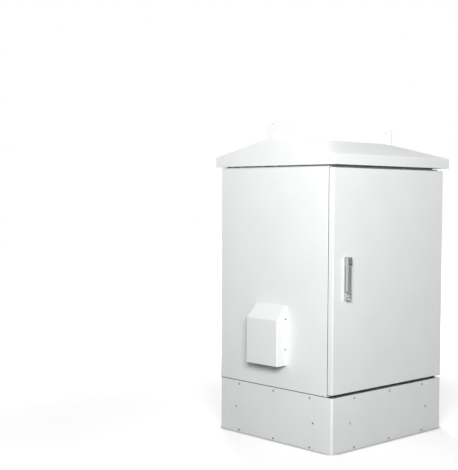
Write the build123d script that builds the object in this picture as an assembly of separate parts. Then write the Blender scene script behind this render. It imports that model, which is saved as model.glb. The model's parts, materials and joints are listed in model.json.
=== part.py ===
from build123d import *
import math
import os

os.makedirs("parts", exist_ok=True)

# Outdoor 19 inch equipment cabinet on a plinth. X runs along the width, Y to the back, Z up.
# The origin is the centre of the plinth's footprint on the ground; the door faces -Y.

# Overall sizes
width = 650
depth = 580
plinth_height = 200
seal_thickness = 3
roof_edge = 1028
fascia_height = 37
ridge_rise = 69
roof_overhang = 17
lug_rise = 58

# Sheet thicknesses and bends
plinth_sheet = 2.5
angle_sheet = 3
body_sheet = 1.5
roof_sheet = 2
rail_sheet = 2
bend_radius = 3

# Clearances
fit_gap = 0.3
screw_gap = 0.1
seam_gap = 1
door_gap = 3
pin_gap = 0.05

# Door and its place in front of the body
door_thickness = 22
door_gap_bottom = 10
door_gap_top = 10.5
roof_gap = 6

# Opening of the front frame
frame_stile = 50
frame_sill = 47
frame_header = 45
opening_radius = 12
lip_depth = 12.5

# 19 inch rack
unit_height = 44.45
hole_half_pitch = 232.55
hole_offsets = (6.35, 22.225, 38.1)
square_hole = 9.5
panel_half_width = 241.3
rack_clear_half = 225.25
rail_foot_gap = 2
rail_setback_front = 68
rail_setback_rear = 138.5

# Derived sizes
half_w = width / 2
half_d = depth / 2
body_bottom = plinth_height + seal_thickness
body_front = -half_d + door_thickness + door_gap
body_top = roof_edge - roof_gap
door_front = -half_d
door_back = door_front + door_thickness
door_inner = door_front + body_sheet
door_bottom = plinth_height + door_gap_bottom
door_top = roof_edge - door_gap_top
frame_face = body_front + body_sheet
frame_back = frame_face + body_sheet
eave_height = roof_edge + fascia_height
ridge_height = eave_height + ridge_rise
lug_top = ridge_height + lug_rise
inner_w = half_w - body_sheet
rear_face = half_d - body_sheet
opening_half = half_w - frame_stile
opening_bottom = body_bottom + frame_sill
opening_top = body_top - frame_header
rail_bottom = opening_bottom - rail_foot_gap
unit_count = int((opening_top - rail_bottom) / unit_height)
rail_top = rail_bottom + unit_count * unit_height
rail_front_face = frame_back + rail_setback_front
rail_rear_face = rear_face - rail_setback_rear

PLANES = {"X": Plane.YZ, "Y": Plane.XZ, "Z": Plane.XY}
DIRECTIONS = {"X": (1, 0, 0), "Y": (0, 1, 0), "Z": (0, 0, 1)}


def block(x, y, z):
    """Box between a lower and an upper limit along each axis."""
    sizes = [limits[1] - limits[0] for limits in (x, y, z)]
    middles = [(limits[0] + limits[1]) / 2 for limits in (x, y, z)]
    return Pos(*middles) * Box(*sizes)


def span(axis, sketch, start, end):
    """Sketch drawn across an axis, made solid from start to end along it."""
    direction = DIRECTIONS[axis]
    solid = extrude(PLANES[axis] * sketch, amount=end - start, dir=direction)
    return Pos(*[part * start for part in direction]) * solid


def disc(axis, radius, start, end, u, v):
    """Round bar along an axis, centred at u, v across it."""
    return span(axis, Pos(u, v) * Circle(radius), start, end)


def slab(axis, u, v, radius, start, end):
    """Rounded rectangle between limits u and v across an axis, from start to end along it."""
    outline = RectangleRounded(u[1] - u[0], v[1] - v[0], radius)
    return span(axis, Pos((u[0] + u[1]) / 2, (v[0] + v[1]) / 2) * outline, start, end)


def folded(axis, points, thickness, radius, side, start, end):
    """Sheet folded along points, which lie on one of its faces, as long as start to end."""
    with BuildSketch() as section:
        with BuildLine():
            FilletPolyline(*points, radius=radius)
            offset(amount=thickness, side=side)
        make_face()
    return span(axis, section.sketch, start, end)


def outline(points):
    """Flat face inside a closed row of points."""
    return make_face(Polyline(*points, close=True))


def inset(face, amount):
    """Face drawn in by an amount on every side, with sharp corners."""
    return offset(face, amount=-amount, kind=Kind.INTERSECTION)


def both(x):
    """The same distance on the left and on the right."""
    return (-x, x)


def mirrored(solid):
    """The solid's mirror image on the other side of the width."""
    return mirror(solid, about=Plane.YZ)


def save(name, *shapes):
    """One STEP file for one node; a group of like pieces stays separate solids."""
    solids = [solid for shape in shapes for solid in shape.solids()]
    export_step(solids[0] if len(solids) == 1 else Compound(solids), f"parts/{name}.step")


# Plinth: corner posts, panels, base ring and top ring
post_leg_front = 93
post_leg_side = 84
post_radius = 8
ring_leg = 40
ring_flange = 60
panel_edge_x = half_w - post_leg_front - seam_gap
panel_edge_y = half_d - post_leg_side - seam_gap
tab_bottom = ring_leg + 5
tab_top = plinth_height - ring_leg - 5
tab_sheet = 3
plinth_screw_low = 9
plinth_screw_high = plinth_height - 12
plinth_screw_middle = plinth_height / 2 - 1
seam_screw_offset = 6
panel_screw_offset_x = 29
panel_screw_offset_y = 22
plinth_screw_far_x = half_w - post_leg_front - panel_screw_offset_x
plinth_screw_far_y = half_d - post_leg_side - panel_screw_offset_y
plinth_screw_x = (-plinth_screw_far_x, 0, plinth_screw_far_x)
plinth_screw_y = (-plinth_screw_far_y, 0, plinth_screw_far_y)
seam_screw_x = half_w - post_leg_front - seam_screw_offset
seam_screw_y = half_d - post_leg_side - seam_screw_offset
plinth_screw_radius = 2.4
plinth_hole_radius = plinth_screw_radius + screw_gap
plinth_head_radius = 4.5
plinth_head_height = 2.2


def plinth_screw_places():
    """Side of the plinth and place on it of every panel screw."""
    places = []
    for z in (plinth_screw_low, plinth_screw_high):
        places += [("Y", x, z) for x in plinth_screw_x]
        places += [("X", y, z) for y in plinth_screw_y]
    places += [("Y", x, plinth_screw_middle) for x in both(seam_screw_x)]
    places += [("X", y, plinth_screw_middle) for y in both(seam_screw_y)]
    return places


def plinth_holes():
    """Bars that cut the panel screw holes through all four sides."""
    reach = {"X": half_w + 5, "Y": half_d + 5}
    return [disc(axis, plinth_hole_radius, -reach[axis], reach[axis], u, z)
            for axis, u, z in plinth_screw_places()]


def plinth_post(side_x, side_y):
    """Folded corner post with a tab behind the seam on each leg."""
    points = [(half_w - post_leg_front, -half_d), (half_w, -half_d), (half_w, -half_d + post_leg_side)]
    post = folded("Z", points, plinth_sheet, post_radius, Side.LEFT, 0, plinth_height)
    inner_x = half_w - plinth_sheet
    inner_y = -half_d + plinth_sheet
    seam_x = half_w - post_leg_front
    seam_y = -half_d + post_leg_side
    post += block((seam_x - 22, seam_x + 13), (inner_y, inner_y + tab_sheet), (tab_bottom, tab_top))
    post += block((inner_x - tab_sheet, inner_x), (seam_y - 13, seam_y + 22), (tab_bottom, tab_top))
    if side_x < 0:
        post = mirror(post, about=Plane.YZ)
    if side_y > 0:
        post = mirror(post, about=Plane.XZ)
    return post - plinth_holes()


def angle_ring(flange_z, legs):
    """Welded ring of angle inside the plinth; flange_z are the limits of its flat flange."""
    outer_x = half_w - plinth_sheet
    outer_y = half_d - plinth_sheet
    corner = post_radius - plinth_sheet
    ring = slab("Z", both(outer_x), both(outer_y), corner, legs[0], legs[1])
    hollow_x = outer_x - angle_sheet
    hollow_y = outer_y - angle_sheet
    inner = slab("Z", both(hollow_x), both(hollow_y), corner - angle_sheet, legs[0] - 1, legs[1] + 1)
    ring -= inner
    flange = slab("Z", both(outer_x), both(outer_y), corner, flange_z[0], flange_z[1])
    window_x = outer_x - ring_flange
    window_y = outer_y - ring_flange
    flange -= slab("Z", both(window_x), both(window_y), 10, flange_z[0] - 1, flange_z[1] + 1)
    return ring + flange


anchor_x = half_w - 35
anchor_y = half_d - 50
anchor_radius = 7
body_bolt_radius = 5
bolt_hex = 9.2
body_bolt_hole = 5.5
corners = [(x, y) for x in both(anchor_x) for y in both(anchor_y)]

save("plinth_posts", *[plinth_post(side_x, side_y) for side_x in (-1, 1) for side_y in (-1, 1)])

front_panel = block(both(panel_edge_x), (-half_d, -half_d + plinth_sheet), (0, plinth_height))
side_panel = block((-half_w, -half_w + plinth_sheet), both(panel_edge_y), (0, plinth_height))
cuts = plinth_holes()
plinth_panels = [front_panel, mirror(front_panel, about=Plane.XZ), side_panel, mirrored(side_panel)]
save("plinth_panels", *[panel - cuts for panel in plinth_panels])

base_ring = angle_ring((0, angle_sheet), (0, ring_leg))
base_ring -= [disc("Z", anchor_radius, -1, angle_sheet + 1, x, y) for x, y in corners]
save("plinth_base_ring", base_ring - cuts)

ring_bottom = plinth_height - angle_sheet
top_ring = angle_ring((ring_bottom, plinth_height), (plinth_height - ring_leg, plinth_height))
top_ring -= [disc("Z", body_bolt_hole, ring_bottom - 1, plinth_height + 1, x, y) for x, y in corners]
save("plinth_top_ring", top_ring - cuts)


def plinth_screw(axis, sign, u, z):
    """Low-headed screw through a plinth panel into the ring or tab behind it."""
    face = half_w if axis == "X" else half_d
    tip = face - 14
    limits = sorted((sign * face, sign * (face + plinth_head_height)))
    shank = sorted((sign * tip, sign * face))
    socket = sorted((sign * (face + plinth_head_height - 1.2), sign * (face + plinth_head_height + 1)))
    screw = disc(axis, plinth_head_radius, limits[0], limits[1], u, z)
    screw -= span(axis, Pos(u, z) * RegularPolygon(1.8, 6), socket[0], socket[1])
    return screw + disc(axis, plinth_screw_radius, shank[0], shank[1], u, z)


save("plinth_screws", *[plinth_screw(axis, sign, u, z)
                        for axis, u, z in plinth_screw_places() for sign in (-1, 1)])

# Seal and bolts between plinth and body
seal_inset = 2
seal_width = 40
seal = block(both(half_w - seal_inset), (frame_face, rear_face), (plinth_height, body_bottom))
seal -= block(both(half_w - seal_inset - seal_width), (frame_face + 12, rear_face - seal_width),
              (plinth_height - 1, body_bottom + 1))
seal -= [disc("Z", body_bolt_hole, plinth_height - 1, body_bottom + 1, x, y) for x, y in corners]
save("base_seal", seal)

floor_top = body_bottom + body_sheet


def body_bolt(x, y):
    """Hexagon bolt and nut that clamp the floor plate on the plinth."""
    nut_top = plinth_height - angle_sheet
    bolt = span("Z", Pos(x, y) * RegularPolygon(bolt_hex, 6), floor_top, floor_top + 6.4)
    bolt += disc("Z", body_bolt_radius, nut_top - 14, floor_top, x, y)
    return bolt + span("Z", Pos(x, y) * RegularPolygon(bolt_hex, 6), nut_top - 8, nut_top)


# Floor plate with the cable entry
entry_x = (-175, 175)
entry_depth = 110
entry_back_gap = 120
entry_y = (half_d - entry_back_gap - entry_depth, half_d - entry_back_gap)
gland_overlap = 10
gland_sheet = 2
grommet_x = (-120, -40, 40, 120)
grommet_y = sum(entry_y) / 2
grommet_hole = 22
grommet_lip = 26
gland_screw_x = (-160, 0, 160)

corner_cut = bend_radius
floor_plate = block(both(inner_w), (frame_face, rear_face), (body_bottom, floor_top))
floor_plate = chamfer(floor_plate.edges().filter_by(Axis.Z), corner_cut)
floor_plate -= block(entry_x, entry_y, (body_bottom - 1, floor_top + 1))
floor_plate -= [disc("Z", body_bolt_hole, body_bottom - 1, floor_top + 1, x, y) for x, y in corners]
save("floor_plate", floor_plate)

gland_top = floor_top + gland_sheet
gland_plate = slab("Z", (entry_x[0] - gland_overlap, entry_x[1] + gland_overlap),
                   (entry_y[0] - gland_overlap, entry_y[1] + gland_overlap), 6, floor_top, gland_top)
gland_plate -= [disc("Z", grommet_hole, floor_top - 1, gland_top + 1, x, grommet_y) for x in grommet_x]
save("gland_plate", gland_plate)


def grommet(x):
    """Rubber grommet gripping the gland plate's hole, its middle a closed skin with a raised ring."""
    ring = disc("Z", grommet_lip, gland_top, gland_top + 3, x, grommet_y)
    ring += disc("Z", grommet_hole, floor_top - 4, gland_top, x, grommet_y)
    ring -= disc("Z", grommet_hole - 3, gland_top - 2, gland_top + 4, x, grommet_y)
    ring -= disc("Z", grommet_hole - 3, floor_top - 5, gland_top - 4, x, grommet_y)
    return ring


floor_grommets = [grommet(x) for x in grommet_x]

# Side panels, with air slots where the hoods stand
flange_width = 20
hood_half = 82
intake_middle = 14
intake_y = (intake_middle - hood_half, intake_middle + hood_half)
intake_bottom = body_bottom + 88
exhaust_middle = 48
exhaust_y = (exhaust_middle - hood_half, exhaust_middle + hood_half)
exhaust_bottom = body_top - 327
hood_height = 221
hood_face_height = 170
hood_depth = 52
fan_half_step = 43
fan_y = (exhaust_middle - fan_half_step, exhaust_middle + fan_half_step)
fan_z = exhaust_bottom + 87
fan_bore = 38
slot_height = 7
slot_pitch = 14
slot_count = 9
slot_margin = 32

side_points = [(-half_w + flange_width, body_front), (-half_w, body_front), (-half_w, half_d),
               (-half_w + flange_width, half_d)]
side = folded("Z", side_points, body_sheet, bend_radius, Side.RIGHT, body_bottom, body_top)
flange_limits = (-inner_w, -half_w + flange_width)
for low in (floor_top, body_top - body_sheet):
    side += block(flange_limits, (frame_back + 16, rear_face - 3), (low, low + body_sheet))

left_cuts = []
for index in range(slot_count):
    low = intake_bottom + 25 + index * slot_pitch
    left_cuts.append(block((-half_w - 1, -inner_w + 1),
                           (intake_y[0] + slot_margin, intake_y[1] - slot_margin), (low, low + slot_height)))
save("side_panel_left", side - left_cuts)
right_cuts = [disc("X", fan_bore, inner_w - 1, half_w + 1, y, fan_z) for y in fan_y]
save("side_panel_right", mirrored(side) - right_cuts)

# Rear panel behind the side panels' flanges, and its screws
rear_screw_inset = 27
rear_screw_count = 5
rear_screw_step = (body_top - body_bottom - 2 * rear_screw_inset) / (rear_screw_count - 1)
rear_screw_z = [body_bottom + rear_screw_inset + index * rear_screw_step for index in range(rear_screw_count)]
rear_screw_x = half_w - 12
rear_rib_z = (body_bottom + body_top) / 2
panel_half = inner_w - bend_radius / 2
rear_panel = block(both(panel_half), (rear_face - body_sheet, rear_face), (floor_top, body_top - body_sheet))
rear_panel += block(both(inner_w - 26), (rear_face - 13, rear_face - body_sheet),
                    (rear_rib_z, rear_rib_z + body_sheet))
save("rear_panel", rear_panel)


def rear_screw(x, z):
    """Low-headed screw on the rear flange."""
    return disc("Y", 4.5, half_d, half_d + 2.2, x, z)


rear_screws = [rear_screw(x, z) for x in both(rear_screw_x) for z in rear_screw_z]

# Front frame: plate round the opening, rain lip forward, return at each side
frame_half = panel_half
lip_front = frame_face - lip_depth
frame = block(both(frame_half), (frame_face, frame_back), (floor_top, body_top - body_sheet))
lip_out = body_sheet
frame += slab("Y", both(opening_half + lip_out), (opening_bottom - lip_out, opening_top + lip_out),
              opening_radius + lip_out, lip_front, frame_face)
frame -= slab("Y", both(opening_half), (opening_bottom, opening_top), opening_radius,
              lip_front - 1, frame_back + 1)
for sign in (-1, 1):
    edge = sorted((sign * frame_half, sign * (frame_half - body_sheet)))
    frame += block(edge, (frame_back, frame_back + 15), (floor_top, body_top - body_sheet))
frame_hole_x = half_w - 36
frame_hole_z = (body_bottom + 29, body_top - 26)
frame -= [disc("Y", 3, frame_face - 1, frame_back + 1, x, z)
          for x in both(frame_hole_x) for z in frame_hole_z]
save("front_frame", frame)

# Top deck with the upstand that keeps rain out under the roof
deck_top = body_top + body_sheet
upstand_half = half_w - 14
upstand_y = (body_front + 13, half_d - 12.5)
upstand_top = deck_top + 28
upstand_sheet = 1.5
deck = block(both(half_w - 2), (body_front + 1, half_d - 2), (body_top, deck_top))
deck += slab("Z", both(upstand_half), upstand_y, 4, deck_top, upstand_top)
deck -= slab("Z", both(upstand_half - upstand_sheet),
             (upstand_y[0] + upstand_sheet, upstand_y[1] - upstand_sheet), 2.5, deck_top, upstand_top + 1)
lug_bolt_y = (-15, 15)
lug_bolt_z = deck_top + 12.5
lug_bolt_radius = 5
lug_bolt_hole = 5.2
deck -= [disc("X", lug_bolt_hole, -upstand_half - 1, upstand_half + 1, y, lug_bolt_z) for y in lug_bolt_y]
save("top_deck", deck)

# Roof: one folded gabled sheet with a hem at its lower edge and a slot for each lug
roof_half_x = half_w + roof_overhang
roof_half_y = half_d + roof_overhang
roof_radius = 4
hem_width = 12
lug_thickness = 6
lug_half_width = 27.5
lug_inner = roof_half_x - roof_sheet - 9
lug_outer = lug_inner + lug_thickness
lug_slot_gap = 1


def roof_section(bottom):
    """Gable outline down to a given height."""
    return outline([(-roof_half_y, bottom), (-roof_half_y, eave_height), (0, ridge_height),
                    (roof_half_y, eave_height), (roof_half_y, bottom)])


def rounded_above(solid, height, radius):
    """Rounds every edge whose middle is above a height."""
    return fillet(solid.edges().filter_by(lambda edge: edge.center().Z > height), radius)


roof = span("X", roof_section(roof_edge), -roof_half_x, roof_half_x)
roof = rounded_above(roof, roof_edge + 1, roof_radius)
hollow_face = inset(roof_section(roof_edge - 20), roof_sheet)
hollow_half = roof_half_x - roof_sheet
hollow = span("X", hollow_face, -hollow_half, hollow_half)
roof -= rounded_above(hollow, roof_edge + 1, roof_radius - roof_sheet)
hem_x = roof_half_x - roof_sheet
hem_y = roof_half_y - roof_sheet
hem = block(both(hem_x), both(hem_y), (roof_edge, roof_edge + roof_sheet))
hem -= block(both(roof_half_x - hem_width), both(roof_half_y - hem_width),
             (roof_edge - 1, roof_edge + roof_sheet + 1))
roof += hem
for sign in (-1, 1):
    slot_x = sorted((sign * (lug_inner - lug_slot_gap), sign * (lug_outer + lug_slot_gap)))
    roof -= block(slot_x, both(lug_half_width + lug_slot_gap), (eave_height + 20, ridge_height + 5))
save("roof", roof)

# Bearers under the slopes
bearer_y = half_d - 140
slope = ridge_rise / roof_half_y
bearer_half = upstand_half - 21


def under_slope(y):
    """Height of the roof's underside at a distance from the ridge."""
    return ridge_height - y * slope - roof_sheet * math.hypot(1, slope) - fit_gap


def roof_bearer(sign):
    """Z-shaped bearer from the deck to the slope above it."""
    near = bearer_y
    far = bearer_y + 25
    points = [(near - 20, deck_top), (near + 2, deck_top), (near + 2, under_slope(near + 2) - 2),
              (far, under_slope(far) - 2), (far, under_slope(far)), (near, under_slope(near)),
              (near, deck_top + 2), (near - 20, deck_top + 2)]
    return span("X", outline([(sign * y, z) for y, z in points]), -bearer_half, bearer_half)


save("roof_bearers", roof_bearer(-1), roof_bearer(1))

# Lifting lugs, cranked out over the upstand and up through the roof
lug_radius = 15
lug_hole = 8
lug_hole_z = lug_top - 16
crank_top = deck_top + 30.5
lug_foot = deck_top + 2


def lug():
    """Right-hand lug: eye plate, crank and bolted foot in one bent plate."""
    plate = block((lug_inner, lug_outer), both(lug_half_width), (crank_top - lug_thickness, lug_top))
    plate = fillet(plate.edges().filter_by(Axis.X).group_by(Axis.Z)[-1], lug_radius)
    plate += block((upstand_half, lug_outer), both(lug_half_width), (crank_top - lug_thickness, crank_top))
    plate += block((upstand_half, upstand_half + lug_thickness), both(lug_half_width), (lug_foot, crank_top))
    plate -= disc("X", lug_hole, lug_inner - 1, lug_outer + 1, 0, lug_hole_z)
    plate -= [disc("X", lug_bolt_hole, upstand_half - 1, lug_outer + 1, y, lug_bolt_z) for y in lug_bolt_y]
    return plate


def lug_bolt(y):
    """Bolt and nut through the right-hand lug's foot and the upstand."""
    head = upstand_half + lug_thickness
    nut = upstand_half - upstand_sheet
    bolt = span("X", Pos(y, lug_bolt_z) * RegularPolygon(bolt_hex, 6), head, head + 6.4)
    bolt += disc("X", lug_bolt_radius, nut - 10, head, y, lug_bolt_z)
    return bolt + span("X", Pos(y, lug_bolt_z) * RegularPolygon(bolt_hex, 6), nut - 8, nut)


save("lifting_lugs", lug(), mirrored(lug()))
lug_bolts = [lug_bolt(y) for y in lug_bolt_y]
body_bolts = [body_bolt(x, y) for x, y in corners]
save("hex_bolts", *body_bolts, *lug_bolts, *[mirrored(bolt) for bolt in lug_bolts])

# Vent hoods over the air inlet and the air outlet, with their brackets
hood_radius = 6
hood_sheet = 1.5
hood_screw_height = (60, 172)
hood_screw_offset = 8
hood_bracket_height = (40, 190)
hood_screw_radius = 2.1
hood_slope = (hood_height - hood_face_height) / hood_depth


def hood_outline(bottom, below, behind):
    """Side view of a left-hand hood; below and behind lengthen it past its open sides."""
    face = -half_w - hood_depth
    wall = -half_w + behind
    top = bottom + hood_height + behind * hood_slope
    fold = bottom + hood_face_height
    return outline([(wall, bottom - below), (face, bottom - below), (face, fold), (wall, top)])


def hood_rounded(solid, bottom, radius):
    """Rounds the hood's upright, sloping and folded edges."""
    beyond_wall = solid.edges().filter_by(lambda edge: edge.center().X < -half_w)
    return fillet(beyond_wall.filter_by(lambda edge: edge.center().Z > bottom + 5), radius)


def hood_holes(y, bottom):
    """Bars that cut the fixing holes through both sides of a hood and its brackets."""
    x = -half_w - hood_screw_offset
    return [disc("Y", hood_screw_radius + screw_gap, y[0] - 5, y[1] + 5, x, bottom + height)
            for height in hood_screw_height]


def hood(y, bottom):
    """Left-hand hood of folded sheet, open below and towards the wall."""
    shell = hood_rounded(span("Y", hood_outline(bottom, 0, 0), y[0], y[1]), bottom, hood_radius)
    hollow_face = inset(hood_outline(bottom, 20, 20), hood_sheet)
    hollow = span("Y", hollow_face, y[0] + hood_sheet, y[1] - hood_sheet)
    shell -= hood_rounded(hollow, bottom, hood_radius - hood_sheet)
    return shell - hood_holes(y, bottom)


def hood_brackets(y, bottom):
    """Angle inside each side of a left-hand hood."""
    z = (bottom + hood_bracket_height[0], bottom + hood_bracket_height[1])
    angles = []
    for edge, inward in ((y[0] + hood_sheet, 1), (y[1] - hood_sheet, -1)):
        leg = sorted((edge, edge + inward * 2))
        foot = sorted((edge, edge + inward * 15))
        angle = block((-half_w - 16, -half_w), leg, z) + block((-half_w - 2, -half_w), foot, z)
        angles.append(angle - hood_holes(y, bottom))
    return angles


def hood_screws(y, bottom):
    """Screws through both sides of a left-hand hood."""
    x = -half_w - hood_screw_offset
    screws = []
    for height in hood_screw_height:
        for face, outward in ((y[0], -1), (y[1], 1)):
            head = sorted((face, face + outward * 2.2))
            shank = sorted((face, face - outward * 8))
            screw = disc("Y", 4, head[0], head[1], x, bottom + height)
            screws.append(screw + disc("Y", hood_screw_radius, shank[0], shank[1], x, bottom + height))
    return screws


save("intake_hood", hood(intake_y, intake_bottom))
save("exhaust_hood", mirrored(hood(exhaust_y, exhaust_bottom)))
right_brackets = [mirrored(angle) for angle in hood_brackets(exhaust_y, exhaust_bottom)]
save("hood_brackets", *hood_brackets(intake_y, intake_bottom), *right_brackets)
right_screws = [mirrored(screw) for screw in hood_screws(exhaust_y, exhaust_bottom)]
save("wall_screws", *hood_screws(intake_y, intake_bottom), *right_screws, *rear_screws)

# Filter behind the air inlet
filter_y = (intake_middle - 64, intake_middle + 64)
filter_z = (intake_bottom + 9, intake_bottom + 161)
filter_rim = 12
filter_depth = 14
filter_back = -inner_w + filter_depth
mat_y = (filter_y[0] + filter_rim, filter_y[1] - filter_rim)
mat_z = (filter_z[0] + filter_rim, filter_z[1] - filter_rim)
filter_frame = block((-inner_w, filter_back), filter_y, filter_z)
filter_frame -= block((-inner_w - 1, filter_back + 1), mat_y, mat_z)
for index in range(1, 4):
    bar_z = mat_z[0] + index * (mat_z[1] - mat_z[0]) / 4
    filter_frame += block((filter_back - 2, filter_back), mat_y, (bar_z - 2, bar_z + 2))
save("filter_frame", filter_frame)
save("filter_mat", block((-inner_w + 0.5, filter_back - 2.2), (mat_y[0] + 0.2, mat_y[1] - 0.2),
                         (mat_z[0] + 0.2, mat_z[1] - 0.2)))

# Fan unit on the right wall: housing with two motor mounts, guards and rotors
fan_housing_y = (fan_y[0] - 42, fan_y[1] + 42)
fan_housing_z = (fan_z - 47, fan_z + 47)
fan_inner = inner_w - 38
fan_shaft = 2
fan_hub = 17
fan_tip = 36.5
fan_blades = 7
mount_inner = inner_w - 4
boss_inner = inner_w - 12.5
hub_outer = mount_inner - 2.5
hub_inner = fan_inner + 4
strut_width = 4

housing = block((fan_inner, inner_w), fan_housing_y, fan_housing_z)
for y in fan_y:
    housing -= disc("X", fan_bore, fan_inner - 1, inner_w + 1, y, fan_z)
for y in fan_y:
    housing += disc("X", fan_hub, mount_inner, inner_w, y, fan_z)
    housing += disc("X", 6, boss_inner, mount_inner, y, fan_z)
    for index in range(3):
        turn = Pos(y, fan_z) * Rot(0, 0, 90 + index * 120)
        strut = turn * Pos((fan_hub + fan_bore) / 2) * Rectangle(fan_bore - fan_hub + 5, strut_width)
        housing += span("X", strut, mount_inner, inner_w)
    housing -= disc("X", fan_shaft + pin_gap, boss_inner - 1, inner_w + 1, y, fan_z)
save("fan_housing", housing)


def fan_guard(y):
    """Flat finger guard over one fan's inner side."""
    guard = None
    for radius in (13, 24, 35):
        ring = Circle(radius + 1) - Circle(radius - 1)
        guard = ring if guard is None else guard + ring
    for angle in (45, 135):
        guard += Rot(0, 0, angle) * Rectangle(2 * fan_bore + 20, 2)
    return span("X", Pos(y, fan_z) * guard, fan_inner - 2, fan_inner)


save("fan_guards", *[fan_guard(y) for y in fan_y])


def fan_rotor(y):
    """Cup-shaped hub with its shaft and twisted blades."""
    rotor = disc("X", fan_hub, hub_inner, hub_outer, y, fan_z)
    rotor -= disc("X", fan_hub - 4, hub_inner + 3, hub_outer + 1, y, fan_z)
    rotor += disc("X", fan_shaft, hub_inner + 2, inner_w - 2, y, fan_z)
    envelope = disc("X", fan_tip, hub_inner, hub_outer, y, fan_z)
    envelope -= disc("X", fan_hub - 1, hub_inner - 1, hub_outer + 1, y, fan_z)
    middle = (hub_inner + hub_outer) / 2
    for index in range(fan_blades):
        turn = Pos(middle, y, fan_z) * Rot(index * 360 / fan_blades, 0, 0)
        blade = turn * Pos(0, 0, 27) * Rot(0, 0, 40) * Box(22, 1.6, 24)
        rotor += blade & envelope
    return rotor


save("fan_rotor_front", fan_rotor(fan_y[0]))
save("fan_rotor_rear", fan_rotor(fan_y[1]))

# Rack rails, depth channels and top cross channel
rail_outer = 256
rail_inner_leg = 31
rail_outer_leg = 20
channel_flange = 15
channel_height = 25
channel_low = (rail_bottom + 17, rail_top - 24.2)
channel_front = frame_back + 18
channel_rear = rear_face - body_sheet
rail_bolt_radius = 3
rail_bolt_inset = 10
rail_bolt_z = [low + channel_height / 2 for low in channel_low]
rail_bolt_y = (rail_front_face + rail_bolt_inset, rail_rear_face - rail_bolt_inset)


def hole_heights():
    """Heights of every rail hole, three in each rack unit at unequal steps."""
    return [rail_bottom + unit * unit_height + step for unit in range(unit_count) for step in hole_offsets]


def rail_bolt_bars():
    """Bars that cut the bolt holes through the rails and channels."""
    return [disc("X", rail_bolt_radius + screw_gap, -half_w + 30, half_w - 30, y, z)
            for y in rail_bolt_y for z in rail_bolt_z]


def rack_rail():
    """Right-hand front rail: U-section with square holes in its face."""
    points = [(rack_clear_half, rail_front_face + rail_inner_leg), (rack_clear_half, rail_front_face),
              (rail_outer, rail_front_face), (rail_outer, rail_front_face + rail_outer_leg)]
    rail = folded("Z", points, rail_sheet, 2.5, Side.LEFT, rail_bottom, rail_top)
    half = square_hole / 2
    holes = [block((hole_half_pitch - half, hole_half_pitch + half),
                   (rail_front_face - 1, rail_front_face + rail_sheet + 1), (z - half, z + half))
             for z in hole_heights()]
    return rail - holes


front_rail = rack_rail() - rail_bolt_bars()
rear_rail = Pos(0, rail_rear_face, 0) * mirror(Pos(0, -rail_front_face, 0) * rack_rail(), about=Plane.XZ)
rear_rail -= rail_bolt_bars()
save("rack_rails_front", front_rail, mirrored(front_rail))
save("rack_rails_rear", rear_rail, mirrored(rear_rail))


def depth_channel(low):
    """Right-hand channel from the rear panel to a foot on the front frame."""
    high = low + channel_height
    tip = rail_outer + channel_flange
    points = [(tip, low), (rail_outer, low), (rail_outer, high), (tip, high)]
    channel = folded("Y", points, rail_sheet, 2.5, Side.RIGHT, channel_front, channel_rear)
    inside = (low + rail_sheet, high - rail_sheet)
    channel += block((tip - 2, tip), (frame_back, channel_front + 30), inside)
    channel += block((tip - 2, tip + 25), (frame_back, frame_back + 2), inside)
    return channel - rail_bolt_bars()


channels = [depth_channel(low) for low in channel_low]
save("depth_channels", *channels, *[mirrored(channel) for channel in channels])

cross_height = 32
cross_points = [(rail_front_face + 20, rail_top), (rail_front_face, rail_top),
                (rail_front_face, rail_top + cross_height), (rail_front_face + 20, rail_top + cross_height)]
save("top_cross_channel",
     folded("X", cross_points, rail_sheet, 2.5, Side.RIGHT, -rail_outer, rail_outer))


def rail_bolt(y, z):
    """Bolt and nut joining a right-hand rail to a channel."""
    head = rail_outer - rail_sheet
    nut = rail_outer + rail_sheet
    bolt = span("X", Pos(y, z) * RegularPolygon(5.7, 6), head - 4, head)
    bolt += disc("X", rail_bolt_radius, head, nut + 7, y, z)
    return bolt + span("X", Pos(y, z) * RegularPolygon(5.7, 6), nut, nut + 5)


rail_bolts = [rail_bolt(y, z) for y in rail_bolt_y for z in rail_bolt_z]
save("rail_bolts", *rail_bolts, *[mirrored(bolt) for bolt in rail_bolts])

# Control unit, one and a half units high, at the top of the rack
control_units = 1.5
panel_clearance = 0.4
control_bottom = rail_top - control_units * unit_height + panel_clearance
control_top = rail_top - panel_clearance
control_sheet = 3
control_front = rail_front_face - control_sheet
control_depth = 110
key_centre = (-115, (control_bottom + control_top) / 2)
key_step = 12
key_radius = 4.5
key_travel = 1.2
key_proud = 2
panel_screw_radius = 2.95
panel_hole_radius = panel_screw_radius + 0.35
control_screw_z = [rail_top - unit_height - hole_offsets[0], rail_top - hole_offsets[0]]
cable_screw_z = [rail_top - 2 * unit_height + hole_offsets[0], rail_top - 2 * unit_height - hole_offsets[0]]
case_gap = 7.25
case_half = rack_clear_half - case_gap
case_z = (control_bottom + 4, control_top - 4)
case_back = rail_front_face + control_depth

control = slab("Y", both(panel_half_width), (control_bottom, control_top), 2, control_front, rail_front_face)
control += block(both(case_half), (rail_front_face, case_back), case_z)
control -= block(both(case_half - body_sheet), (rail_front_face, case_back + 1),
                 (case_z[0] + body_sheet, case_z[1] - body_sheet))
key_places = {
    "key_middle": (0, 0),
    "key_up": (0, key_step),
    "key_down": (0, -key_step),
    "key_left": (-key_step, 0),
    "key_right": (key_step, 0),
}
for step_x, step_z in key_places.values():
    control -= disc("Y", key_radius + fit_gap, control_front - 1, rail_front_face + 1,
                    key_centre[0] + step_x, key_centre[1] + step_z)
control -= [disc("Y", panel_hole_radius, control_front - 1, rail_front_face + 1, x, z)
            for x in both(hole_half_pitch) for z in control_screw_z]
save("control_unit", control)


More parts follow.
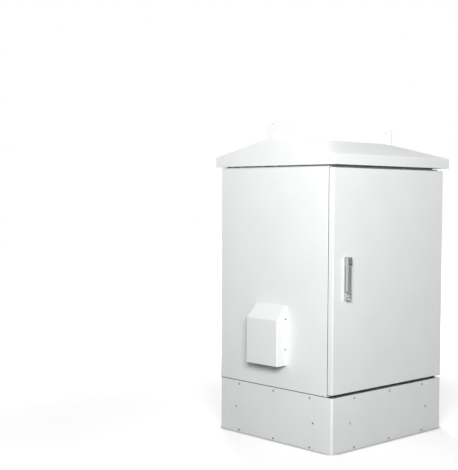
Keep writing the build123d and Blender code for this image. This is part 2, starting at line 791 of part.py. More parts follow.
def control_key(step_x, step_z):
    """Round key with a collar behind the panel."""
    x = key_centre[0] + step_x
    z = key_centre[1] + step_z
    key = disc("Y", key_radius, control_front - key_proud, rail_front_face + 1.8, x, z)
    return key + disc("Y", key_radius + 1, rail_front_face + fit_gap, rail_front_face + 1.8, x, z)


for name, (step_x, step_z) in key_places.items():
    save(name, control_key(step_x, step_z))

windows = [slab("Y", (-38, 22), (z - 3.5, z + 3.5), 1.5, control_front - 0.8, control_front)
           for z in (key_centre[1] - 8, key_centre[1] + 8)]
lenses = [disc("Y", 2.6, control_front - 1.5, control_front, 66, z)
          for z in (key_centre[1] - 9, key_centre[1] + 9)]
save("control_lights", *windows, *lenses)

# Cable panel below it, with six grommets and air slots
cable_bottom = control_bottom - unit_height
cable_top = control_bottom - 2 * panel_clearance
cable_sheet = 2
cable_front = rail_front_face - cable_sheet
cable_middle = (cable_bottom + cable_top) / 2
cable_hole = 11
cable_hole_count = 6
cable_hole_first = -166
cable_hole_step = 45.4
cable_hole_x = [cable_hole_first + index * cable_hole_step for index in range(cable_hole_count)]
cable_slot_x = (111, 200)

cable = slab("Y", both(panel_half_width), (cable_bottom, cable_top), 2, cable_front, rail_front_face)
cable -= [disc("Y", cable_hole, cable_front - 1, rail_front_face + 1, x, cable_middle) for x in cable_hole_x]
for index in range(4):
    slot_z = cable_middle - 12 + index * 8
    cable -= block(cable_slot_x, (cable_front - 1, rail_front_face + 1), (slot_z - 2, slot_z + 2))
cable -= [disc("Y", panel_hole_radius, cable_front - 1, rail_front_face + 1, x, z)
          for x in both(hole_half_pitch) for z in cable_screw_z]
save("cable_panel", cable)


def panel_grommet(x):
    """Rubber grommet in the cable panel, closed by a thin skin."""
    ring = disc("Y", cable_hole + 2.5, cable_front - 2, cable_front, x, cable_middle)
    ring += disc("Y", cable_hole, cable_front, rail_front_face + 2, x, cable_middle)
    return ring - disc("Y", cable_hole - 2, cable_front - 3, cable_front, x, cable_middle)


save("rubber_grommets", *floor_grommets, *[panel_grommet(x) for x in cable_hole_x])

cage_half = 4.6
cage_back_half = 4.7


def panel_fixing(x, z, face):
    """Panel screw and the cage nut that holds it in a square hole, as two solids."""
    screw = disc("Y", 5, face - 3, face, x, z)
    screw -= span("Y", Pos(x, z) * RegularPolygon(2.2, 6), face - 4, face - 1.5)
    screw += disc("Y", panel_screw_radius, face, rail_front_face + 14, x, z)
    back = rail_front_face + rail_sheet
    body = Pos(x, z) * Rectangle(2 * cage_half, 2 * cage_half)
    wings = Pos(x, z) * Rectangle(2 * cage_back_half, 2 * cage_back_half)
    nut = span("Y", body, rail_front_face, back) + span("Y", wings, back, back + 5)
    nut -= disc("Y", panel_screw_radius + pin_gap, rail_front_face - 1, back + 6, x, z)
    return [screw, nut]


fixings = []
for x in both(hole_half_pitch):
    for z in control_screw_z:
        fixings += panel_fixing(x, z, control_front)
    for z in cable_screw_z:
        fixings += panel_fixing(x, z, cable_front)
save("panel_fixings", *fixings)

# Lamp and door switch at the top of the opening
lamp_length = 102
lamp_side_gap = 75
lamp_x = (half_w - lamp_side_gap - lamp_length, half_w - lamp_side_gap)
lamp_z = (opening_top - 33, opening_top + 9)
lamp = slab("Y", lamp_x, lamp_z, 4, frame_back, frame_back + 24)
save("service_lamp", lamp)

switch_x = (opening_half + 11.5, half_w - 21)
switch_z = (opening_top - 32, opening_top + 6)
switch_front = frame_face - 12
plunger_radius = 3
plunger_travel = 4
plunger_x = sum(switch_x) / 2
plunger_z = sum(switch_z) / 2
switch = block(switch_x, (switch_front, frame_face), switch_z)
switch -= disc("Y", plunger_radius + fit_gap, switch_front - 1, switch_front + 3, plunger_x, plunger_z)
switch -= disc("Y", plunger_radius + 2, switch_front + 2, frame_face - 1, plunger_x, plunger_z)
save("door_switch", switch)
plunger = disc("Y", plunger_radius, door_inner + fit_gap, switch_front + 4, plunger_x, plunger_z)
plunger += disc("Y", plunger_radius + 1.5, switch_front + 2.3, switch_front + 4, plunger_x, plunger_z)
save("switch_plunger", plunger)

# Hinges on the right edge: their shared axis and three like sets
pivot_x = half_w - 5
pivot_y = door_front + 12
knuckle_radius = 4.5
hinge_pin_radius = 2.5
hinge_half = 36
hinge_knuckle = hinge_half / 3
leaf_sheet = 2.5
hinge_middle = (door_bottom + door_top) / 2
hinge_end = 123
hinge_step = (door_top - door_bottom) / 2 - hinge_end
hinge_heights = (hinge_middle - hinge_step, hinge_middle, hinge_middle + hinge_step)
web_x = (pivot_x - knuckle_radius, pivot_x - knuckle_radius + leaf_sheet)
knuckle_bore = hinge_pin_radius + pin_gap


def frame_leaf(z):
    """Frame half of one hinge, its two knuckles joined by the fixed pin."""
    height = (z - hinge_half, z + hinge_half)
    leaf = block((half_w - 18.5, half_w - 3.5), (body_front - leaf_sheet, body_front), height)
    for sign in (-1, 1):
        limits = sorted((z + sign * hinge_knuckle, z + sign * hinge_half))
        leaf += disc("Z", knuckle_radius, limits[0], limits[1], pivot_x, pivot_y)
        leaf += block(web_x, (pivot_y, body_front - leaf_sheet), limits)
    return leaf + disc("Z", hinge_pin_radius, z - hinge_half, z + hinge_half, pivot_x, pivot_y)


def door_leaf(z):
    """Door half of one hinge, with the middle knuckle."""
    reach = hinge_knuckle - fit_gap
    height = (z - hinge_half + 2, z + hinge_half - 2)
    leaf = block((half_w - 38, web_x[1]), (door_inner, door_inner + leaf_sheet), height)
    leaf += block(web_x, (door_inner + leaf_sheet, pivot_y), (z - reach, z + reach))
    leaf += disc("Z", knuckle_radius, z - reach, z + reach, pivot_x, pivot_y)
    return leaf - disc("Z", knuckle_bore, z - reach - 1, z + reach + 1, pivot_x, pivot_y)


save("hinge_frame_leaves", *[frame_leaf(z) for z in hinge_heights])
save("hinge_door_leaves", *[door_leaf(z) for z in hinge_heights])

# Door leaf: folded tray with lips, notched at each hinge
handle_x = 20 - opening_half
spindle_z = 682
spindle_radius = 5
door_radius = 3
lip_width = 12


def tray(margin, front, back, radius):
    """Box of the door's outline drawn in by a margin, its front and corner edges rounded."""
    solid = block(both(half_w - margin), (front, back), (door_bottom + margin, door_top - margin))
    return fillet(solid.edges().filter_by(lambda edge: edge.center().Y < back - 1), radius)


door = tray(0, door_front, door_back, door_radius)
door -= tray(body_sheet, door_inner, door_back + 5, door_radius - body_sheet)
lip_y = (door_back - body_sheet, door_back)
lip_z = (door_bottom + body_sheet, door_top - body_sheet)
door += block((-inner_w, -inner_w + lip_width), lip_y, lip_z)
door += block(both(inner_w), lip_y, (lip_z[0], lip_z[0] + lip_width))
door += block(both(inner_w), lip_y, (lip_z[1] - lip_width, lip_z[1]))
for z in hinge_heights:
    notch = (z - hinge_half - 2, z + hinge_half + 2)
    door -= block((inner_w - 1, half_w + 1), (door_inner + 1.5, door_back + 1), notch)
door -= disc("Y", spindle_radius + 0.5, door_front - 1, door_inner + 1, handle_x, spindle_z)
save("door_skin", door)

# Foam gasket that meets the rain lip
gasket_half = 8.75
gasket_middle = opening_half + lip_out / 2
gasket_low = opening_bottom - lip_out / 2
gasket_high = opening_top + lip_out / 2
gasket_back = lip_front - fit_gap
gasket = slab("Y", both(gasket_middle + gasket_half), (gasket_low - gasket_half, gasket_high + gasket_half),
              20, door_inner, gasket_back)
gasket -= slab("Y", both(gasket_middle - gasket_half), (gasket_low + gasket_half, gasket_high - gasket_half),
               8, door_inner - 1, gasket_back + 1)
save("door_gasket", gasket)

# Swing handle: base with lock block, head, lever, lock cylinder and its cover
base_half = 12.5
base_z = (spindle_z - 137, spindle_z + 18)
base_sheet = 5
base_front = door_front - base_sheet
lock_block_top = base_z[0] + 29.5
lock_block_front = door_front - 16
head_half = 11
head_back = base_front - fit_gap
head_front = door_front - 19
lever_pivot_y = (head_back + head_front) / 2
lever_pivot_z = spindle_z - 14
ear_radius = (head_back - head_front) / 2
tongue_half = 5.7
ear_inner = tongue_half + fit_gap
lever_half = 10.5
lever_top = lever_pivot_z - 8
lever_tip = lock_block_top + 1
lever_pin_radius = 2
lock_z = base_z[0] + 15
lock_radius = 6.5
cover_pin_z = lock_z - 10.5
cover_pin_radius = 1.5
cover_radius = 7.5
cover_sheet = 2

base = slab("Y", (handle_x - base_half, handle_x + base_half), base_z, 4, base_front, door_front)
base += slab("Y", (handle_x - base_half, handle_x + base_half), (base_z[0], lock_block_top), 4,
             lock_block_front, base_front)
base -= disc("Y", spindle_radius + pin_gap, base_front - 1, door_front + 1, handle_x, spindle_z)
base -= disc("Y", lock_radius + fit_gap, lock_block_front - 1, door_front - 1.5, handle_x, lock_z)
cover_back = lock_block_front - fit_gap
cover_front = cover_back - cover_sheet
base += disc("Y", cover_pin_radius, cover_front - fit_gap, lock_block_front, handle_x, cover_pin_z)
base += disc("Y", cover_pin_radius + 0.9, cover_front - 1.2, cover_front - fit_gap, handle_x, cover_pin_z)
save("handle_base", base)

head = slab("Y", (handle_x - head_half, handle_x + head_half), (lever_pivot_z + 8, base_z[1] - 1), 5,
            head_front, head_back)
head = head + block((handle_x - head_half, handle_x + head_half), (head_front, head_back),
                    (lever_pivot_z + 8, lever_pivot_z + 16))
for sign in (-1, 1):
    ear = sorted((handle_x + sign * ear_inner, handle_x + sign * head_half))
    head += disc("X", ear_radius, ear[0], ear[1], lever_pivot_y, lever_pivot_z)
    head += block(ear, (head_front, head_back), (lever_pivot_z, lever_pivot_z + 8))
head += disc("X", lever_pin_radius, handle_x - head_half, handle_x + head_half, lever_pivot_y, lever_pivot_z)
cam_front = frame_back + 1.5
cam_back = cam_front + 3
head += disc("Y", spindle_radius, head_back, cam_back, handle_x, spindle_z)
save("handle_head", head)

lever = block((handle_x - lever_half, handle_x + lever_half), (head_front, head_back), (lever_tip, lever_top))
front_edges = lever.edges().filter_by(Axis.Z).filter_by(lambda edge: edge.center().Y < lever_pivot_y)
lever = chamfer(front_edges, 3)
tongue = (handle_x - tongue_half, handle_x + tongue_half)
lever += disc("X", lever_pin_radius + 4, tongue[0], tongue[1], lever_pivot_y, lever_pivot_z)
lever += block(tongue, (lever_pivot_y - 6, lever_pivot_y + 6), (lever_top, lever_pivot_z))
lever -= disc("X", lever_pin_radius + pin_gap, tongue[0] - 1, tongue[1] + 1, lever_pivot_y, lever_pivot_z)
save("handle_lever", lever)

cylinder = disc("Y", lock_radius, lock_block_front, door_front - 2, handle_x, lock_z)
keyway = Pos(handle_x, lock_z) * Rectangle(2, 8)
cylinder -= span("Y", keyway, lock_block_front - 1, lock_block_front + 6)
save("key_cylinder", cylinder)

cover = disc("Y", cover_radius, cover_front, cover_back, handle_x, lock_z)
cover += block((handle_x - 3, handle_x + 3), (cover_front, cover_back), (cover_pin_z, lock_z))
cover += disc("Y", 3.5, cover_front, cover_back, handle_x, cover_pin_z)
cover -= disc("Y", cover_pin_radius + pin_gap, cover_front - 1, cover_back + 1, handle_x, cover_pin_z)
save("key_cover", cover)

# Lock: housing on the door, cam on the spindle, two rods and their guides
cam_radius = 14
cam_eye = 5
rod_pin_radius = 3
rod_radius = 3.4
eye_front = cam_back + fit_gap
eye_back = eye_front + 7.2
rod_y = (eye_front + eye_back) / 2
rod_overlap = 8.5
upper_pin_z = spindle_z + cam_radius
lower_pin_z = spindle_z - cam_radius
upper_tip = opening_top + rod_overlap
lower_tip = opening_bottom - rod_overlap
guide_heights = (opening_bottom + 50, opening_top - 47)
guide_half = 11.5
guide_slot = 8
guide_back = eye_back + 4
guide_sheet = 3

housing_x = (handle_x - head_half, handle_x + head_half)
lock_housing = slab("Y", housing_x, (spindle_z - 30, spindle_z + 30), 3, door_inner, door_inner + 20)
lock_housing += disc("Y", 8, door_inner + 20, cam_front - 0.5, handle_x, spindle_z)
lock_housing -= disc("Y", spindle_radius + pin_gap, door_inner - 1, cam_front, handle_x, spindle_z)
save("lock_housing", lock_housing)

cam = slab("Y", (handle_x - cam_eye, handle_x + cam_eye), (lower_pin_z - cam_eye, upper_pin_z + cam_eye),
           cam_eye - 0.01, cam_front, cam_back)
cam += disc("Y", 8, cam_front, cam_back, handle_x, spindle_z)
cam += block((handle_x - 36, handle_x), (cam_front, cam_back), (spindle_z - 6, spindle_z + 6))
cam -= disc("Y", spindle_radius, cam_front - 1, cam_back + 1, handle_x, spindle_z)
for pin_z in (lower_pin_z, upper_pin_z):
    cam += disc("Y", rod_pin_radius, cam_back, eye_back + fit_gap, handle_x, pin_z)
    cam += disc("Y", rod_pin_radius + 1, eye_back + fit_gap, eye_back + 1.5, handle_x, pin_z)
save("latch_cam", cam)


def lock_rod(pin_z, start, tip):
    """Round rod with an eye for the cam's pin."""
    limits = sorted((start, tip))
    bar = disc("Z", rod_radius, limits[0], limits[1], handle_x, rod_y)
    bar = chamfer(bar.edges().filter_by(lambda edge: abs(edge.center().Z - tip) < 0.1), 1.2)
    bar += disc("Y", cam_eye, eye_front, eye_back, handle_x, pin_z)
    return bar - disc("Y", rod_pin_radius + pin_gap, eye_front - 1, eye_back + 1, handle_x, pin_z)


save("upper_rod", lock_rod(upper_pin_z, upper_pin_z + 3.5, upper_tip))
save("lower_rod", lock_rod(lower_pin_z, lower_pin_z - 3.5, lower_tip))


def rod_guide(z):
    """Angle on the door with a wide slot that the rod slides through."""
    x = (handle_x - guide_half, handle_x + guide_half)
    guide = block(x, (door_inner, guide_back), (z, z + guide_sheet))
    guide += block(x, (door_inner, door_inner + 2), (z, z + 25))
    slot_y = (rod_y - rod_radius - 0.5, rod_y + rod_radius + 0.5)
    return guide - block((handle_x - guide_slot, handle_x + guide_slot), slot_y, (z - 1, z + guide_sheet + 1))


save("rod_guides", *[rod_guide(z) for z in guide_heights])
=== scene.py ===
import json
import math

import bmesh
import bpy
from mathutils import Matrix, Vector, noise

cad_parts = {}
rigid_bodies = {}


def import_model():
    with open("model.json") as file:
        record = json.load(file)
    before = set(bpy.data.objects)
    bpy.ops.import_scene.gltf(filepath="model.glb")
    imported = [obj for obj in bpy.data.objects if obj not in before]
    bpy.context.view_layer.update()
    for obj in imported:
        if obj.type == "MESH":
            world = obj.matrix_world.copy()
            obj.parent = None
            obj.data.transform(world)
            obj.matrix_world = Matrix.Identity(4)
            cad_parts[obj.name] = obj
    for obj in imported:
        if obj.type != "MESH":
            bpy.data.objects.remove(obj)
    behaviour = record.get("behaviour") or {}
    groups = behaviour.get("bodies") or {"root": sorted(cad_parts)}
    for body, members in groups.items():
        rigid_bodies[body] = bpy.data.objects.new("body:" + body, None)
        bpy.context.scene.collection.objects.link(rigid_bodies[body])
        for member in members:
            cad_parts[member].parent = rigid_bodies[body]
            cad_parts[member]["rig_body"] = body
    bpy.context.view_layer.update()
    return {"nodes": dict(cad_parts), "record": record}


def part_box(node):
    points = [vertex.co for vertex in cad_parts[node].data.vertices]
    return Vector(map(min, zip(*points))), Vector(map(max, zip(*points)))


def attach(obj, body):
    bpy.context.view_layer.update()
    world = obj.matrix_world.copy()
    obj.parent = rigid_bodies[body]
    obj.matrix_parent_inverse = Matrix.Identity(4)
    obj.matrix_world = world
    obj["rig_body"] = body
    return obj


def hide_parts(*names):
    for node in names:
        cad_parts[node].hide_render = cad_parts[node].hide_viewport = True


bl_info = {
    "name": "Outdoor Equipment Cabinet",
    "version": (1, 0, 0),
    "blender": (4, 5, 0),
    "location": "3D View > Sidebar > Cabinet",
    "description": "Finishes, fasteners, seals and stage for an outdoor equipment cabinet on a plinth",
    "category": "Add Mesh",
}

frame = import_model()
MM = 0.001
IMAGE_SIDE = 470
SENSOR = 36.0


# Colours and node helpers

def linear(hex_colour):
    """Linear RGBA of an sRGB hex colour."""
    channels = [int(hex_colour[i:i + 2], 16) / 255 for i in (0, 2, 4)]
    return tuple(c / 12.92 if c <= 0.04045 else ((c + 0.055) / 1.055) ** 2.4 for c in channels) + (1.0,)


def add_node(tree, kind, inputs=None, **settings):
    """Adds a node, sets its settings, and links or fills its inputs."""
    node = tree.nodes.new(kind)
    for name, value in settings.items():
        setattr(node, name, value)
    for key, value in (inputs or {}).items():
        if isinstance(value, bpy.types.NodeSocket):
            tree.links.new(value, node.inputs[key])
        else:
            node.inputs[key].default_value = value
    return node


def new_material(name, **sockets):
    """A material whose shader has these socket values; returns it with its tree, shader and coordinates."""
    material = bpy.data.materials.new(name)
    material.use_nodes = True
    tree = material.node_tree
    shader = tree.nodes["Principled BSDF"]
    for socket, value in sockets.items():
        shader.inputs[socket.replace("_", " ")].default_value = value
    place = add_node(tree, "ShaderNodeTexCoord").outputs["Object"]
    return material, tree, shader, place


def grain(tree, place, size_mm, detail=2.0, roughness=0.5, stretch=(1, 1, 1)):
    """Noise whose features are as wide as size_mm, drawn out along an axis by stretch."""
    mapping = add_node(tree, "ShaderNodeMapping", {"Vector": place, "Scale": [1 / s for s in stretch]})
    return add_node(tree, "ShaderNodeTexNoise", {
        "Vector": mapping.outputs["Vector"], "Scale": 1 / (size_mm * MM), "Detail": detail,
        "Roughness": roughness}).outputs["Fac"]


def cells(tree, place, size_mm):
    """Pattern of cells that are as wide as size_mm."""
    return add_node(tree, "ShaderNodeTexVoronoi", {"Vector": place, "Scale": 1 / (size_mm * MM)})


def vary_roughness(tree, shader, factor, low, high):
    """Lets the shader's roughness go from low to high with a factor."""
    scaled = add_node(tree, "ShaderNodeMapRange", {"Value": factor, "To Min": low, "To Max": high})
    tree.links.new(scaled.outputs["Result"], shader.inputs["Roughness"])


def vary_colour(tree, shader, factor, first, second):
    """Lets the shader's colour go from one hex colour to another with a factor."""
    first_colour, second_colour, mixed_colour = 6, 7, 2
    mix = add_node(tree, "ShaderNodeMix", {
        "Factor": factor, first_colour: linear(first), second_colour: linear(second)}, data_type="RGBA")
    tree.links.new(mix.outputs[mixed_colour], shader.inputs["Base Color"])


def raise_surface(tree, shader, height, depth_mm):
    """Bump of a real depth on the shader's normal."""
    bump = add_node(tree, "ShaderNodeBump", {"Height": height, "Distance": depth_mm * MM, "Strength": 1.0})
    tree.links.new(bump.outputs["Normal"], shader.inputs["Normal"])


# Finishes

def powder_coated_sheet():
    """Sheet steel, powder coated light grey."""
    # Cured powder flows into an orange peel of 2 to 3 mm waves, so highlights look soft and grainy.
    material, tree, shader, place = new_material("powder_coated_sheet", Roughness=0.42, IOR=1.5)
    peel = grain(tree, place, 2.6, 2.0, 0.45)
    cloud = grain(tree, place, 140, 3.0, 0.5)
    vary_colour(tree, shader, cloud, "E3E5E5", "EBECEC")
    vary_roughness(tree, shader, grain(tree, place, 18, 3.0), 0.38, 0.47)
    raise_surface(tree, shader, peel, 0.03)
    return material


def galvanised_sheet():
    """Sheet steel, hot-dip galvanised."""
    # Zinc freezes in flat crystals 8 to 15 mm wide, each with its own grey and gloss.
    material, tree, shader, place = new_material("galvanised_sheet", Metallic=1.0, Roughness=0.4)
    spangle = add_node(tree, "ShaderNodeSeparateColor", {"Color": cells(tree, place, 11).outputs["Color"]})
    vary_colour(tree, shader, spangle.outputs["Red"], "A9AEB1", "C4C8CA")
    vary_roughness(tree, shader, spangle.outputs["Green"], 0.3, 0.48)
    raise_surface(tree, shader, grain(tree, place, 0.9, 3.0), 0.01)
    return material


def zinc_plated_steel_with_socket_shade():
    """Turned and pressed steel, zinc plated, its grey darkened below bright zinc as painted shade of the
    screw sockets.
    """
    # Plating keeps the fine marks of rolling and forging, so gloss changes over a millimetre or two.
    material, tree, shader, place = new_material("zinc_plated_steel_with_socket_shade", Metallic=1.0, Roughness=0.3)
    marks = grain(tree, place, 1.4, 4.0, 0.6)
    # The grey is darker than bright zinc: painted shade standing for the dark screw sockets.
    vary_colour(tree, shader, marks, "8D9194", "A6A9AB")
    vary_roughness(tree, shader, marks, 0.24, 0.42)
    raise_surface(tree, shader, marks, 0.008)
    return material


def matt_chromed_casting():
    """Zinc die casting, matt chrome plated."""
    # The casting's skin shows as a faint ripple under the plating; chromium itself is a cold grey.
    material, tree, shader, place = new_material("matt_chromed_casting", Metallic=1.0, Roughness=0.2)
    ripple = grain(tree, place, 3.5, 2.0, 0.5)
    vary_colour(tree, shader, ripple, "C0C2C4", "CBCDCE")
    vary_roughness(tree, shader, grain(tree, place, 0.5, 3.0), 0.16, 0.24)
    raise_surface(tree, shader, ripple, 0.012)
    return material


def black_powder_coated_panel():
    """Rack panel, fine-textured black powder coat."""
    # Texture powder dries to a sand-like grain of about half a millimetre that breaks up every highlight.
    material, tree, shader, place = new_material("black_powder_coated_panel", Roughness=0.5, IOR=1.5)
    sand = grain(tree, place, 0.55, 4.0, 0.6)
    vary_colour(tree, shader, sand, "17181A", "232427")
    vary_roughness(tree, shader, sand, 0.42, 0.6)
    raise_surface(tree, shader, sand, 0.03)
    return material


def moulded_black_abs():
    """ABS, injection moulded, black."""
    # Spark-eroded moulds leave a leather-like grain about 0.6 mm wide with a dull sheen.
    material, tree, shader, place = new_material("moulded_black_abs", Roughness=0.5, IOR=1.53)
    pits = cells(tree, place, 0.6).outputs["Distance"]
    vary_colour(tree, shader, grain(tree, place, 9, 2.0), "19191B", "242426")
    vary_roughness(tree, shader, pits, 0.44, 0.58)
    raise_surface(tree, shader, pits, 0.02)
    return material


def moulded_white_polycarbonate():
    """Polycarbonate, injection moulded, white."""
    # Fine moulded grain; the plastic lets a little light in, so its edges look soft.
    material, tree, shader, place = new_material(
        "moulded_white_polycarbonate", Roughness=0.45, IOR=1.58, Subsurface_Weight=0.05)
    pits = grain(tree, place, 0.7, 3.0)
    vary_colour(tree, shader, grain(tree, place, 12, 2.0), "DCDCD6", "E6E6E1")
    vary_roughness(tree, shader, pits, 0.4, 0.52)
    raise_surface(tree, shader, pits, 0.01)
    return material


def chrome_plated_wire():
    """Spring steel wire, chrome plated."""
    # Drawn wire keeps fine die marks under a bright plating.
    material, tree, shader, place = new_material("chrome_plated_wire", Metallic=1.0, Roughness=0.18)
    marks = grain(tree, place, 0.6, 3.0)
    vary_colour(tree, shader, marks, "BFC2C4", "D2D4D5")
    vary_roughness(tree, shader, marks, 0.12, 0.26)
    raise_surface(tree, shader, marks, 0.004)
    return material


def smoked_acrylic():
    """Acrylic, polished, smoked."""
    # A dark window over lamps: deep colour, sharp highlights, faint polishing haze.
    material, tree, shader, place = new_material(
        "smoked_acrylic", Roughness=0.08, IOR=1.49, Coat_Weight=0.3)
    haze = grain(tree, place, 2.2, 3.0)
    vary_colour(tree, shader, haze, "2A3236", "39444A")
    vary_roughness(tree, shader, haze, 0.05, 0.16)
    return material


def moulded_black_rubber():
    """EPDM rubber, compression moulded, black."""
    # Moulded rubber is matt with a dry bloom that turns raised skins slightly grey.
    material, tree, shader, place = new_material("moulded_black_rubber", Roughness=0.72, IOR=1.52)
    bloom = grain(tree, place, 5, 4.0, 0.6)
    vary_colour(tree, shader, bloom, "1B1B1C", "2C2C2D")
    vary_roughness(tree, shader, bloom, 0.64, 0.82)
    raise_surface(tree, shader, grain(tree, place, 0.8, 3.0), 0.02)
    return material


def poured_foam():
    """Polyurethane foam, poured in place, black."""
    # Foam poured as a bead sets with a skin of closed pores about 0.9 mm wide.
    material, tree, shader, place = new_material("poured_foam", Roughness=0.85, IOR=1.45, Sheen_Weight=0.15)
    pores = cells(tree, place, 0.9).outputs["Distance"]
    # The pores are darker in their pits, where the bump sinks them: painted shade in the pores.
    vary_colour(tree, shader, pores, "141415", "29292A")
    raise_surface(tree, shader, pores, 0.12)
    return material


def pressed_fleece():
    """Polyester fleece, pressed, off-white."""
    # Loose fibres about 0.4 mm apart cross at random; they are drawn 1 mm apart so that they show.
    material, tree, shader, place = new_material(
        "pressed_fleece", Roughness=0.95, IOR=1.45, Sheen_Weight=0.4)
    across = grain(tree, place, 1.0, 4.0, 0.7, (1, 6, 1))
    along = grain(tree, place, 1.0, 4.0, 0.7, (1, 1, 6))
    fibres = add_node(tree, "ShaderNodeMath", {0: across, 1: along}, operation="MULTIPLY").outputs[0]
    # The fleece is darker where the fibres lie low under the bump: painted shade between the fibres.
    vary_colour(tree, shader, fibres, "A9A89F", "EDECE4")
    raise_surface(tree, shader, fibres, 0.5)
    return material


FINISHES = {
    "powder_coat": powder_coated_sheet,
    "galvanised_steel": galvanised_sheet,
    "zinc_plated_fasteners": zinc_plated_steel_with_socket_shade,
    "chromed_zinc": matt_chromed_casting,
    "black_paint": black_powder_coated_panel,
    "black_plastic": moulded_black_abs,
    "guard_wire": chrome_plated_wire,
    "white_plastic": moulded_white_polycarbonate,
    "clear_plastic": smoked_acrylic,
    "black_rubber": moulded_black_rubber,
    "black_foam": poured_foam,
    "filter_fleece": pressed_fleece,
}


def finish_of(slot):
    """The material of a slot, made once."""
    name = FINISHES[slot].__name__
    return bpy.data.materials.get(name) or FINISHES[slot]()


def slot_of(node):
    """The record's slot of a node."""
    return next(part["material_slot"] for part in frame["record"]["subparts"] if part["node"] == node)


def body_of(node):
    """The body that carries a node."""
    return frame["nodes"][node]["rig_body"]


def dress(nodes, slot=None):
    """Gives nodes their finish."""
    for node in nodes:
        mesh = frame["nodes"][node].data
        mesh.materials.clear()
        mesh.materials.append(finish_of(slot or slot_of(node)))


# Mesh helpers; sizes are in millimetres until a piece is finished

def box_mm(node):
    """A node's corners in millimetres."""
    low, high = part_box(node)
    return low / MM, high / MM


def finish_piece(name, bm, node, angle=35, slot=None, extra=(), stands_for=True):
    """Turns a bmesh in millimetres into a piece that rides on a node's body and stands for the node."""
    bmesh.ops.recalc_face_normals(bm, faces=bm.faces)
    bmesh.ops.scale(bm, vec=(MM, MM, MM), verts=bm.verts)
    mesh = bpy.data.meshes.new(name)
    bm.to_mesh(mesh)
    bm.free()
    mesh.shade_smooth()
    mesh.set_sharp_from_angle(angle=math.radians(angle))
    piece = bpy.data.objects.new(name, mesh)
    bpy.context.scene.collection.objects.link(piece)
    slot = slot or slot_of(node)
    for each in (slot, *extra):
        mesh.materials.append(finish_of(each))
    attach(piece, body_of(node))
    if stands_for:
        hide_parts(node)
    return piece


def turned(bm, centre, outward, profile, sides=24, material=0):
    """Adds a closed turned shape. Each profile point is radius, height and how hexagonal it is there."""
    turn = Vector((0, 0, 1)).rotation_difference(Vector(outward)).to_matrix()
    rows = []
    for radius, height, flats in profile:
        if radius == 0:
            rows.append([bm.verts.new(Vector(centre) + turn @ Vector((0, 0, height)))])
            continue
        row = []
        for index in range(sides):
            angle = math.tau * index / sides
            hexagon = math.cos(math.pi / 6) / math.cos(angle % (math.pi / 3) - math.pi / 6)
            reach = radius * (1 - flats + flats * hexagon)
            point = Vector((reach * math.cos(angle), reach * math.sin(angle), height))
            row.append(bm.verts.new(Vector(centre) + turn @ point))
        rows.append(row)
    for low, high in zip(rows, rows[1:]):
        for index in range(sides):
            after = (index + 1) % sides
            corners = [low[index % len(low)], low[after % len(low)],
                       high[after % len(high)], high[index % len(high)]]
            corners = [v for place, v in enumerate(corners) if v not in corners[:place]]
            bm.faces.new(corners).material_index = material


def swept(bm, path, section, closed=True):
    """Sweeps a section over rows of (point, sideways, outward) frames."""
    rows = [[bm.verts.new(point + side * u + out * v) for u, v in section] for point, side, out in path]
    count = len(section)
    pairs = list(zip(rows, rows[1:])) + ([(rows[-1], rows[0])] if closed else [])
    for first, second in pairs:
        for index in range(count):
            after = (index + 1) % count
            bm.faces.new((first[index], first[after], second[after], second[index]))
    if not closed:
        bm.faces.new(rows[0])
        bm.faces.new(rows[-1])


def circle(radius, sides):
    """Points of a round section."""
    angles = [math.tau * index / sides for index in range(sides)]
    return [(radius * math.cos(angle), radius * math.sin(angle)) for angle in angles]


def solid_box(bm, low, high, bevel=0.0, segments=2, material=0):
    """Adds a box between two corners with rounded edges."""
    made = bmesh.ops.create_cube(bm, size=1)["verts"]
    low, high = Vector(low), Vector(high)
    for vert in made:
        vert.co = Vector([low[i] + (vert.co[i] + 0.5) * (high[i] - low[i]) for i in range(3)])
    faces = {face for vert in made for face in vert.link_faces}
    for face in faces:
        face.material_index = material
    if bevel:
        edges = {edge for vert in made for edge in vert.link_edges}
        bmesh.ops.bevel(bm, geom=list(edges), offset=bevel, segments=segments, affect="EDGES", profile=0.5,
                        material=material)


# Settings that a user would change

class CabinetFinish(bpy.types.PropertyGroup):
    """Small shapes of the cabinet's surfaces."""
    edge_radius: bpy.props.FloatProperty(
        name="Casting edge radius", description="Rounding of the handle's cast edges", default=0.0007,
        min=0.0, unit="LENGTH")
    foam_wobble: bpy.props.FloatProperty(
        name="Foam unevenness", description="How far the poured seal's crown rises and falls",
        default=0.0002, min=0.0, unit="LENGTH")
    fleece_depth: bpy.props.FloatProperty(
        name="Fleece depth", description="How far the uneven fleece lies under its flat outline",
        default=0.0006, min=0.0, unit="LENGTH")


